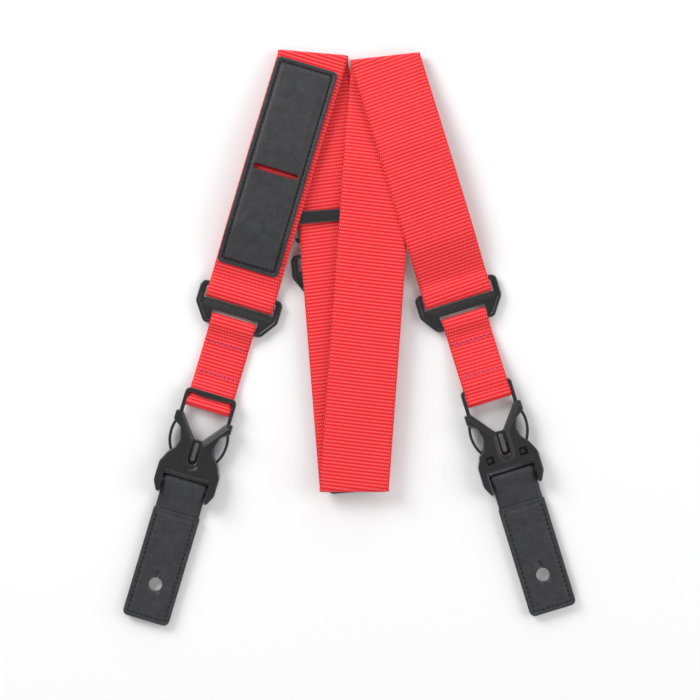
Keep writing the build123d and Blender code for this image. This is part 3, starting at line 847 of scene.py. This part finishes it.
def outline(plan, inset, foot_corner, head_corner, spacing=0.0009):
    """Half of a rounded rectangle's outline, from the middle of its foot up its right side."""
    low, high, left, right = plan
    half = (right - left) / 2
    across_count = round(half / spacing)
    side_count = round((high - low) / spacing)
    points = []
    half_in = max(half - inset, 0.00004)
    foot_r = min(max(foot_corner - inset, 0.0001), half_in)
    head_r = min(max(head_corner - inset, 0.0001), half_in)
    low_in, high_in = low + inset, high - inset
    for index in range(across_count):
        points.append(((half_in - foot_r) * index / across_count, low_in))
    for index in range(9):
        turn = math.radians(-90 + 90 * index / 8)
        points.append((half_in - foot_r + foot_r * math.cos(turn), low_in + foot_r + foot_r * math.sin(turn)))
    for index in range(1, side_count):
        share = index / side_count
        points.append((half_in, (low_in + foot_r) * (1 - share) + (high_in - head_r) * share))
    for index in range(9):
        turn = math.radians(90 * index / 8)
        across, up = head_r * math.cos(turn), head_r * math.sin(turn)
        points.append((half_in - head_r + across, high_in - head_r + up))
    for index in range(1, across_count + 1):
        points.append(((half_in - head_r) * (1 - index / across_count), high_in))
    return points


def layered(name, line, plan, corners, profile, finishes, ground=None):
    """A closed form from a profile of (inset, height, finish), which starts and ends in the middle."""
    middle = (plan[2] + plan[3]) / 2
    rings = []
    for inset, height, _ in profile:
        half = outline(plan, inset, *corners)
        ring = half + [(-across, up) for across, up in half[-2:0:-1]]
        rings.append([
            line.at(up, middle + across, height + (ground(up) if ground else 0)) for across, up in ring
        ])
    count = len(rings[0])
    vertices = [point for ring in rings for point in ring]
    faces, finish = [], []
    for level in range(len(rings) - 1):
        for index in range(count):
            ahead = (index + 1) % count
            low, high = level * count, (level + 1) * count
            faces.append([low + index, low + ahead, high + ahead, high + index])
            finish.append(profile[level + 1][2])
    for level in (0, len(rings) - 1):
        for index in range(count // 2):
            other = (count - index) % count
            quad = [index, index + 1, count - index - 1, other]
            faces.append([level * count + corner for corner in dict.fromkeys(quad)])
            finish.append(profile[level][2])
    mesh = bpy.data.meshes.new(name)
    mesh.from_pydata(vertices, [], faces)
    for face, index in zip(mesh.polygons, finish):
        face.material_index = index
    for used in finishes:
        mesh.materials.append(used)
    made = bmesh.new()
    made.from_mesh(mesh)
    bmesh.ops.remove_doubles(made, verts=made.verts, dist=1e-6)
    bmesh.ops.recalc_face_normals(made, faces=made.faces)
    made.to_mesh(mesh)
    made.free()
    mesh.shade_smooth()
    print(name, "faces", len(mesh.polygons))
    return new_object(name, mesh)


def cut(piece, line, shapes, finish, low=-0.01, high=0.03):
    """Cut upright holes: each shape is a loop of (across, up) points."""
    for loop in shapes:
        count = len(loop)
        points = [line.at(up, across, height) for height in (low, high) for across, up in loop]
        faces = [list(range(count))[::-1], list(range(count, 2 * count))]
        faces += [[i, (i + 1) % count, (i + 1) % count + count, i + count] for i in range(count)]
        mesh = bpy.data.meshes.new("cutter")
        mesh.from_pydata(points, [], faces)
        mesh.materials.append(finish)
        made = bmesh.new()
        made.from_mesh(mesh)
        bmesh.ops.recalc_face_normals(made, faces=made.faces)
        made.to_mesh(mesh)
        made.free()
        cutter = new_object("cutter", mesh)
        boolean = piece.modifiers.new("cut", "BOOLEAN")
        boolean.object = cutter
        boolean.operation = "DIFFERENCE"
        boolean.solver = "EXACT"
        boolean.material_mode = "TRANSFER"
        settle(piece)
        bpy.data.objects.remove(cutter)


def settle(piece):
    """Turn a piece's modifiers into plain mesh."""
    ready = piece.evaluated_get(bpy.context.evaluated_depsgraph_get())
    mesh = bpy.data.meshes.new_from_object(ready)
    piece.modifiers.clear()
    piece.data = mesh


def slot_loop(across, up, length, width, line_count=12):
    """A round-ended slot across the line."""
    radius = width / 2
    points = []
    for middle, start in ((across + length / 2 - radius, -90), (across - length / 2 + radius, 90)):
        for index in range(line_count + 1):
            turn = math.radians(start + 180 * index / line_count)
            points.append((middle + radius * math.cos(turn), up + radius * math.sin(turn)))
    return points


# %% Panel
MM = 0.001
panel_plan = plan_of("panel_leather", left_line)
panel_half = (panel_plan[3] - panel_plan[2]) / 2
panel_profile = [
    (panel_half / MM, 1.70), (0.25, 1.70), (0.0, 1.85), (0.0, 2.35), (0.12, 2.62), (0.45, 2.78), (1.1, 2.82),
    (1.7, 2.74), (2.05, 2.52), (2.3, 2.24), (2.6, 2.20), (2.85, 2.34), (3.1, 2.72), (3.4, 3.14), (3.8, 3.48),
    (4.4, 3.70), (5.4, 3.82), (7.5, 3.86), (11, 3.87), (14.5, 3.87), (panel_half / MM, 3.87),
]
panel = layered(
    "panel_leather_cover", left_line, panel_plan, (0.0028, 0.0028),
    [(inset * MM, height * MM, 0) for inset, height in panel_profile], [black_leather], left_height,
)
lining_plan = plan_of("panel_lining", left_line)
lining_profile = [
    (panel_half / MM, 0.58), (0.2, 0.58), (0.0, 0.8), (0.0, 1.45), (0.2, 1.66), (panel_half / MM, 1.66),
]
lining = layered(
    "panel_lining_felt", left_line, lining_plan, (0.0028, 0.0028),
    [(inset * MM, height * MM, 0) for inset, height in lining_profile], [dark_felt], left_height,
)
PICK_SLOT_UP = 0.0795 - line_gap / 2
panel_middle = (panel_plan[2] + panel_plan[3]) / 2
slot_shape = slot_loop(panel_middle, PICK_SLOT_UP, 0.0256, 0.003)
cut(panel, left_line, [slot_shape], dark_felt)
cut(lining, left_line, [slot_shape], dark_felt)
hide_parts("panel_leather", "panel_core")
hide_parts("panel_lining")
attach(panel, "strap")
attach(lining, "strap")

# %% Tabs
tab_profile = [
    (20, 0.0, 0), (0.5, 0.0, 0), (0.15, 0.1, 0), (0.0, 0.35, 0), (0.0, 0.8, 0), (0.2, 1.0, 1),
    (0.15, 1.5, 1), (0.1, 2.1, 1), (0.15, 2.8, 1), (0.22, 3.15, 1), (0.0, 3.35, 0), (0.0, 3.75, 0),
    (0.18, 4.0, 0), (0.6, 4.12, 0), (1.3, 4.1, 0), (1.9, 3.95, 0), (2.35, 3.78, 0), (2.75, 3.8, 0),
    (3.2, 3.98, 0), (3.9, 4.14, 0), (5.5, 4.19, 0), (9, 4.2, 0), (20, 4.2, 0),
]
HOLE_R = 0.00375
tab_plans = {}
for side, line in (("left", left_line), ("right", right_line), ("rear", rear_line)):
    plan = plan_of(f"{side}_tab_face", line)
    tab_plans[side] = plan
    half = (plan[3] - plan[2]) / 2
    tab = layered(
        f"{side}_tab_leather", line, plan, (0.003, 0.0008),
        [(min(inset * MM, half), height * MM, index) for inset, height, index in tab_profile],
        [black_leather, dark_felt],
    )
    hole_up = plan[0] + 0.0210
    ring = [
        (HOLE_R * math.cos(2 * math.pi * i / 40), hole_up + HOLE_R * math.sin(2 * math.pi * i / 40))
        for i in range(40)
    ]
    slit_low, slit_high = hole_up + HOLE_R - 0.0005, hole_up + HOLE_R + 0.0045
    slit = [(-0.0003, slit_low), (0.0003, slit_low), (0.0003, slit_high), (-0.0003, slit_high)]
    # The hole's wall is pale: painted light from the floor below.
    cut(tab, line, [ring], hole_wall_painted_light)
    cut(tab, line, [slit], dark_felt)
    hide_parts(f"{side}_tab_face", f"{side}_tab_core", f"{side}_tab_back")
    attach(tab, f"{side}_tab")
print("tabs", list(tab_plans))


# %% [markdown]
# ## Stitches
#
# A sewn seam is one short thread after another along a line, so a Geometry Nodes
# tree makes it: it places a small capsule at even steps along a curve and turns it
# to the curve's direction. One tree sews the leather's straight seams and the
# links' zigzag bar tacks, with its own step, length and thickness for each.

# %% Trees that repeat along a line
def repeat_tree(name, segments, rings):
    """A tree that sets out a small capsule at even steps along a curve."""
    tree, given, result = group(
        name,
        "GeometryNodeTree",
        [
            ("Geometry", "NodeSocketGeometry", None),
            ("Step", "NodeSocketFloat", 0.0026),
            ("Length", "NodeSocketFloat", 0.002),
            ("Thickness", "NodeSocketFloat", 0.0006),
            ("Slant", "NodeSocketFloat", 0.0),
            ("Finish", "NodeSocketMaterial", None),
        ],
        [("Geometry", "NodeSocketGeometry")],
    )
    read = given.outputs
    steps = node(
        tree, "GeometryNodeResampleCurve", {"Curve": read["Geometry"], "Length": read["Step"]}, mode="LENGTH"
    )
    ball = node(tree, "GeometryNodeMeshUVSphere", {"Segments": segments, "Rings": rings, "Radius": 0.5})
    size = node(
        tree, "ShaderNodeCombineXYZ", {0: read["Length"], 1: read["Thickness"], 2: read["Thickness"]}
    )
    lean = node(tree, "ShaderNodeCombineXYZ", {2: read["Slant"]})
    shape = node(tree, "GeometryNodeTransform", {"Geometry": ball.outputs["Mesh"], "Scale": size.outputs[0]})
    slanted = node(tree, "GeometryNodeTransform", {"Geometry": shape.outputs[0], "Rotation": lean.outputs[0]})
    tangent = node(tree, "GeometryNodeInputTangent")
    turned = node(tree, "FunctionNodeAlignRotationToVector", {"Vector": tangent.outputs[0]}, axis="X")
    placed = node(
        tree, "GeometryNodeInstanceOnPoints",
        {"Points": steps.outputs[0], "Instance": slanted.outputs[0], "Rotation": turned.outputs[0]},
    )
    real = node(tree, "GeometryNodeRealizeInstances", {0: placed.outputs[0]})
    coloured = node(
        tree, "GeometryNodeSetMaterial", {"Geometry": real.outputs[0], "Material": read["Finish"]}
    )
    tree.links.new(coloured.outputs[0], result.inputs[0])
    return tree


def repeat_along(name, tree, lines, closed, sizes, finish, slant=0.0):
    """Run a tree on lines of points, and leave a plain mesh. The sizes are step, length and thickness."""
    curve = bpy.data.curves.new(name, "CURVE")
    curve.dimensions = "3D"
    for line in lines:
        spline = curve.splines.new("POLY")
        spline.points.add(len(line) - 1)
        for point, spot in zip(spline.points, line):
            point.co = (*spot, 1)
        spline.use_cyclic_u = closed
    holder = new_object(name + "_line", curve)
    setting = holder.modifiers.new("repeat", "NODES")
    setting.node_group = tree
    values = dict(zip(("Step", "Length", "Thickness", "Finish", "Slant"), (*sizes, finish, slant)))
    for item in tree.interface.items_tree:
        if item.item_type == "SOCKET" and item.name in values:
            setting[item.identifier] = values[item.name]
    mesh = bpy.data.meshes.new_from_object(holder.evaluated_get(bpy.context.evaluated_depsgraph_get()))
    bpy.data.objects.remove(holder)
    return new_object(name, mesh)


stitch_tree = repeat_tree("stitches", 7, 6)
SEAM_SIZES = (0.0027, 0.0019, 0.0008)
TACK_SIZES = (0.0008, 0.0013, 0.0006)


def sew(name, seams, closed, sizes, thread):
    """Sew along seams of points."""
    piece = repeat_along(name, stitch_tree, seams, closed, sizes, thread)
    piece.data.shade_smooth()
    print(name, "faces", len(piece.data.polygons))
    return piece


# %% Leather seams
def seam_points(line, plan, inset, corners, height, ground=None, gap=None):
    """Points round an outline, or only round its foot and sides below a gap."""
    half = outline(plan, inset, *corners)
    middle = (plan[2] + plan[3]) / 2
    if gap:
        half = [point for point in half if point[1] < plan[1] - gap]
        ring = [(-across, up) for across, up in half[:0:-1]] + half
    else:
        ring = half + [(-across, up) for across, up in half[-2:0:-1]]
    return [line.at(up, middle + across, height + (ground(up) if ground else 0)) for across, up in ring]


panel_seam = seam_points(left_line, panel_plan, 0.00245, (0.0028, 0.0028), 0.00242, left_height)
panel_thread = sew("panel_seam", [panel_seam], True, SEAM_SIZES, black_thread)
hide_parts("panel_stitching")
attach(panel_thread, "strap")
for side, line in (("left", left_line), ("right", right_line), ("rear", rear_line)):
    seam = seam_points(line, tab_plans[side], 0.0025, (0.003, 0.0008), 0.00398, None, 0.0035)
    piece = sew(f"{side}_tab_seam", [seam], False, SEAM_SIZES, black_thread)
    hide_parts(f"{side}_tab_stitching")
    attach(piece, f"{side}_tab")

# %% Bar tacks
for side, line in (("left", left_line), ("right", right_line)):
    name = f"{side}_link_stitching"
    ups = sorted(line.along(vertex.co) for vertex in nodes[name].data.vertices)
    low_row = [up for up in ups if up < (ups[0] + ups[-1]) / 2]
    high_row = [up for up in ups if up >= (ups[0] + ups[-1]) / 2]
    top_of = faces_of(f"{side}_link", line)
    rows = []
    for row in (low_row, high_row):
        centre = (row[0] + row[-1]) / 2
        zigzag = []
        for index in range(17):
            up = centre + (0.0010 if index % 2 else -0.0010)
            zigzag.append(line.at(up, NARROW * (index / 16 - 0.5) * 0.84, top_of(up)[0] + 0.00022))
        rows.append(zigzag)
    piece = sew(f"{side}_link_bar_tacks", rows, False, TACK_SIZES, pink_thread)
    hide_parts(name)
    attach(piece, f"{side}_link")


# %% [markdown]
# ## Moulded plastic
#
# The rings, the slider and the buckles are injection moulded, and no edge of a
# moulding is sharp. Each CAD node is copied, its triangles are merged back into
# whole faces, and a Bevel modifier rounds its edges so that they catch the light.

# %% Rounded copies
def rounded(name, body, width=0.0004, segments=3):
    """A copy of a CAD node with soft edges, riding on its body."""
    mesh = nodes[name].data.copy()
    made = bmesh.new()
    made.from_mesh(mesh)
    bmesh.ops.remove_doubles(made, verts=made.verts, dist=2e-6)
    bmesh.ops.dissolve_limit(
        made, angle_limit=math.radians(1.5), verts=made.verts, edges=made.edges, use_dissolve_boundaries=False
    )
    made.to_mesh(mesh)
    made.free()
    mesh.materials.clear()
    mesh.materials.append(black_plastic)
    piece = new_object(f"{name}_moulding", mesh)
    bevel = piece.modifiers.new("soft edges", "BEVEL")
    bevel.width = width
    bevel.segments = segments
    bevel.limit_method = "ANGLE"
    bevel.angle_limit = math.radians(32)
    bevel.use_clamp_overlap = True
    bevel.harden_normals = True
    mesh.shade_smooth()
    settle(piece)
    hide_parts(name)
    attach(piece, body)
    print(piece.name, "faces", len(piece.data.polygons))
    return piece


rounded("length_slider", "slider", 0.0008)
for side in ("left", "right"):
    rounded(f"{side}_buckle_outer_prong", f"{side}_outer_prong", 0.0003)
    rounded(f"{side}_buckle_inner_prong", f"{side}_inner_prong", 0.0003)


# %% [markdown]
# The rings, the buckle frames and the buckle housings have curved outlines, so they
# are drawn as flat outlines whose corners are rounded one by one. A filled curve
# with a thickness and a bevel then gives a plate with a moulded edge all round,
# holes included. Hollows are cut out of it afterwards.

# %% Plates from rounded outlines
def round_corners(corners, steps=7):
    """Replace each (x, y, radius) corner of a closed outline with an arc."""
    points = []
    for index, (x, y, radius) in enumerate(corners):
        corner = Vector((x, y))
        before = Vector(corners[index - 1][:2]) - corner
        after = Vector(corners[(index + 1) % len(corners)][:2]) - corner
        half = before.angle(after) / 2
        reach = min(radius / math.tan(half), before.length * 0.49, after.length * 0.49)
        real = reach * math.tan(half)
        centre = corner + (before.normalized() + after.normalized()).normalized() * real / math.sin(half)
        first = corner + before.normalized() * reach - centre
        last = corner + after.normalized() * reach - centre
        turn = first.angle_signed(last)
        for step in range(steps + 1):
            angle = -turn * step / steps
            points.append((
                centre.x + first.x * math.cos(angle) - first.y * math.sin(angle),
                centre.y + first.x * math.sin(angle) + first.y * math.cos(angle),
            ))
    return points


def leg_point(line, turned, shift, height_sum):
    """A function from leg sizes in millimetres (across, up, height) to a place on the leg."""
    def place(across, up, height):
        """Turned pieces show their other face, so they swap left and right, and up and down."""
        if turned:
            across, height = -across, height_sum - height
        return line.at(up * MM + shift, across * MM, height * MM)
    return place


def plate(name, place, loops, low, high, bevel):
    """A plate between two heights, with a rounded edge: the first loop is its outline, the rest are holes."""
    curve = bpy.data.curves.new(name, "CURVE")
    curve.dimensions = "2D"
    curve.fill_mode = "BOTH"
    curve.extrude = (high - low) / 2 - bevel
    curve.bevel_depth = bevel
    curve.bevel_resolution = 3
    curve.offset = -bevel
    for loop in loops:
        spline = curve.splines.new("POLY")
        spline.points.add(len(loop) - 1)
        for point, (x, y) in zip(spline.points, loop):
            point.co = (x, y, 0, 1)
        spline.use_cyclic_u = True
    holder = new_object(name, curve)
    mesh = bpy.data.meshes.new_from_object(holder.evaluated_get(bpy.context.evaluated_depsgraph_get()))
    bpy.data.objects.remove(holder)
    for vertex in mesh.vertices:
        vertex.co = place(vertex.co.x, vertex.co.y, vertex.co.z + (low + high) / 2)
    return clean(name, mesh)


def clean(name, mesh):
    """Merge doubles, face outwards, shade smooth up to real corners."""
    made = bmesh.new()
    made.from_mesh(mesh)
    bmesh.ops.remove_doubles(made, verts=made.verts, dist=4e-6)
    bmesh.ops.recalc_face_normals(made, faces=made.faces)
    made.to_mesh(mesh)
    made.free()
    mesh.materials.clear()
    mesh.materials.append(black_plastic)
    mesh.shade_smooth()
    mesh.set_sharp_from_angle(angle=math.radians(40))
    return new_object(name, mesh)


def block(place, low_corner, high_corner):
    """A plain box in leg sizes, to cut with."""
    corners = [
        place(x, y, z)
        for z in (low_corner[2], high_corner[2])
        for x, y in (
            (low_corner[0], low_corner[1]), (high_corner[0], low_corner[1]),
            (high_corner[0], high_corner[1]), (low_corner[0], high_corner[1]),
        )
    ]
    faces = [(3, 2, 1, 0), (4, 5, 6, 7), (0, 1, 5, 4), (1, 2, 6, 5), (2, 3, 7, 6), (3, 0, 4, 7)]
    mesh = bpy.data.meshes.new("cutter")
    mesh.from_pydata(corners, [], faces)
    return clean("cutter", mesh)


def carve(piece, *cutters):
    """Cut other solids out of a piece."""
    for cutter in cutters:
        boolean = piece.modifiers.new("carve", "BOOLEAN")
        boolean.object = cutter
        boolean.operation = "DIFFERENCE"
        boolean.solver = "EXACT"
        settle(piece)
        bpy.data.objects.remove(cutter)
    piece.data.set_sharp_from_angle(angle=math.radians(40))


def mirror_right(half):
    """Complete an outline whose right half is given from top or bottom middle round to the other."""
    return half + [(-x, y, radius) for x, y, radius in half[::-1]]


def bead(name, place, points, radius, closed=False):
    """A fine raised lip along a path in leg sizes."""
    curve = bpy.data.curves.new(name, "CURVE")
    curve.dimensions = "3D"
    curve.bevel_depth = radius
    curve.bevel_resolution = 2
    curve.use_fill_caps = True
    spline = curve.splines.new("POLY")
    spline.points.add(len(points) - 1)
    for point, spot in zip(spline.points, points):
        point.co = (*place(*spot), 1)
        point.radius = MM
    spline.use_cyclic_u = closed
    holder = new_object(name, curve)
    mesh = bpy.data.meshes.new_from_object(holder.evaluated_get(bpy.context.evaluated_depsgraph_get()))
    bpy.data.objects.remove(holder)
    return clean(name, mesh)


def join(name, parts, finish=None):
    """Make several parts one piece."""
    made = bmesh.new()
    for part in parts:
        made.from_mesh(part.data)
    mesh = bpy.data.meshes.new(name)
    made.to_mesh(mesh)
    made.free()
    mesh.materials.append(finish or black_plastic)
    mesh.shade_smooth()
    mesh.set_sharp_from_angle(angle=math.radians(40))
    for part in parts:
        bpy.data.objects.remove(part)
    piece = new_object(name, mesh)
    weights = piece.modifiers.new("flat faces stay flat", "WEIGHTED_NORMAL")
    weights.keep_sharp = True
    weights.weight = 100
    settle(piece)
    print(name, "faces", len(mesh.polygons))
    return piece


# %% [markdown]
# ### Rings
#
# A ring is a rounded rim about a thinner web, with a wide slot above its middle bar
# and a narrow one below. Fine slanting ribs stop the webbing from slipping on the
# bar, and a Geometry Nodes tree sets them out along it.

# %% Rings
RIM = 2.4
LEG_SHIFT = -0.01025  # from the joint at a ring's upper bar to its middle, in metres
RING_HALF = 11.45
RING_WIDE = 23.7
RING_FOOT = 16.5
rib_tree = repeat_tree("grip ribs", 6, 5)
RIB_SIZES = (0.0011, 0.0056, 0.0004)
ring_outline = mirror_right([
    (RING_FOOT, -RING_HALF, 3.4), (RING_WIDE, -1.2, 4.5), (RING_WIDE, RING_HALF, 3.6),
])
slot_wide = round_corners(mirror_right([(20.0, 2.0, 0.5), (20.0, RING_HALF - RIM, 1.2)]), 4)
slot_narrow = round_corners(mirror_right([(13.2, -RING_HALF + RIM, 0.8), (13.2, -3.3, 0.5)]), 4)
rim_inside = mirror_right([
    (RING_FOOT - 1.3, -RING_HALF + RIM - 0.2, 1.6), (RING_WIDE - RIM, -0.8, 2.6),
    (RING_WIDE - RIM, RING_HALF - RIM, 1.8),
])
for side, line, bar in (
    ("left", left_line, "left_ring"), ("right", right_line, "right_ring"), ("rear", rear_line, "rear_ring"),
):
    place = leg_point(line, False, LEG_SHIFT, 0)
    rim_loops = [round_corners(ring_outline), round_corners(rim_inside)]
    rim = plate("rim", place, rim_loops, 1.75, 3.75, 0.85)
    web_outline = round_corners([(x * 0.985, y * 0.985, r) for x, y, r in ring_outline])
    web = plate("web", place, [web_outline, slot_wide, slot_narrow], 2.1, 3.4, 0.25)
    rib_line = [place(-19.0, -0.65, 3.42), place(19.0, -0.65, 3.42)]
    ribs = repeat_along("ribs", rib_tree, [rib_line], False, RIB_SIZES, black_plastic, 1.0)
    piece = join(f"{side}_ring_moulding", [rim, web, ribs])
    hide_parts(f"{side}_ring")
    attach(piece, f"{side}_ring")

# %% [markdown]
# ### Buckles
#
# The male half is a slim frame whose arms run down into the housing. The housing is
# a hollow shell with a mouth in the shape of a V, oval windows where the prongs are
# pressed, and an opening for the leather loop. A fine double lip follows the mouth.
# The two buckles are the same moulding, and the right one shows its other face, with
# two small sight windows and a post in each.

# %% Buckle outlines
BUCKLE_THICK = 9.0
RIGHT_RISE = 0.0022  # the right buckle sits this much higher up its leg, in metres
FRAME_OUTLINE = mirror_right([
    (1.6, -86.5, 0.6), (1.6, -81.0, 0.4), (4.4, -80.0, 0.8), (14.7, -65.5, 1.0), (14.7, -48.3, 3.0),
])
FRAME_HOLE = mirror_right([
    (2.2, -75.4, 1.0), (12.6, -62.2, 1.5), (12.6, -50.5, 1.3), (5.0, -51.5, 8.0),
])
HOUSING_OUTLINE = mirror_right([
    (2.3, -89.3, 2.2), (2.3, -76.3, 1.4), (12.7, -62.9, 0.9), (13.6, -62.2, 0.4), (16.3, -62.2, 0.7),
    (16.3, -67.6, 1.4), (11.4, -70.9, 3.0), (9.5, -77.0, 4.5), (11.0, -82.0, 4.0), (14.4, -85.8, 3.5),
    (17.4, -92.0, 5.0), (17.4, -103.2, 5.0), (14.6, -108.6, 1.1), (13.0, -108.6, 0.5), (13.0, -96.2, 0.8),
])
CAVITY = mirror_right([
    (12.0, -91.6, 1.0), (15.4, -88.2, 0.5), (15.4, -84.0, 0.3), (19.0, -83.6, 0.3), (19.0, -67.5, 0.3),
    (15.0, -66.5, 0.3), (15.0, -60.0, 0.3),
])
MOUTH_LIP = [(14.4, -63.9), (13.2, -64.6), (3.75, -76.8), (3.5, -77.6), (3.5, -88.6)]


def lip_path(inset, face):
    """The lip's path down one side of the mouth, round the slot's foot and up the other."""
    side = [(x + inset, y - inset * 0.4) for x, y in MOUTH_LIP]
    radius = 3.5 + inset
    foot = [
        (radius * math.cos(math.radians(a)), -88.9 + radius * 0.92 * math.sin(math.radians(a)))
        for a in range(-15, -166, -15)
    ]
    return [(x, y, face) for x, y in side + foot + [(-x, y) for x, y in side[::-1]]]


# %% Buckles
for side, line, turned, shift in (
    ("left", left_line, False, LEG_SHIFT), ("right", right_line, True, LEG_SHIFT + RIGHT_RISE),
):
    place = leg_point(line, turned, shift, BUCKLE_THICK)
    frame_plate = plate(
        "frame", place, [round_corners(FRAME_OUTLINE), round_corners(FRAME_HOLE)], 2.5, 6.5, 0.6
    )
    carve(frame_plate, block(place, (-12.2, -53.5, 0.5), (12.2, -47.0, 4.8)))
    pivot = bead("pivot", place, [(-13.2, -56.0, 4.5), (13.2, -56.0, 4.5)], 1.5)
    piece = join(f"{side}_buckle_frame_moulding", [frame_plate, pivot])
    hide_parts(f"{side}_buckle_frame")
    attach(piece, f"{side}_buckle_male")
    tongue_outline = round_corners(mirror_right([(1.5, -87.6, 1.4), (1.5, -77.0, 1.4)]))
    tongue = plate(f"{side}_guide_tongue", place, [tongue_outline], 2.1, 6.9, 0.5)
    # The tongue gets the lighter copy of the black plastic: painted light.
    tongue.data.materials[0] = tongue_plastic_painted_light
    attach(tongue, f"{side}_buckle_male")

    housing = plate("housing", place, [round_corners(HOUSING_OUTLINE)], 0.0, 9.0, 0.8)
    hollow = plate("hollow", place, [round_corners(CAVITY, 2)], 2.4, 6.6, 0.1)
    windows = [block(place, (x - 2.2, -91.9, -1.0), (x + 2.2, -87.5, 2.6)) for x in (-9.6, 9.6)]
    carve(housing, hollow, *windows)
    posts = [bead("post", place, [(x + 0.5, -89.6, 2.6), (x + 0.5, -89.6, 0.9)], 1.35) for x in (-9.6, 9.6)]
    bar = bead("bar", place, [(-13.6, -101.0, 4.5), (13.6, -101.0, 4.5)], 2.1)
    lips = [bead("lip", place, lip_path(inset, face), 0.28) for inset in (0.0, 0.9) for face in (0.0, 9.0)]
    piece = join(f"{side}_buckle_housing_moulding", [housing, bar, *posts, *lips])
    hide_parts(f"{side}_buckle_housing")
    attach(piece, f"{side}_buckle_female")
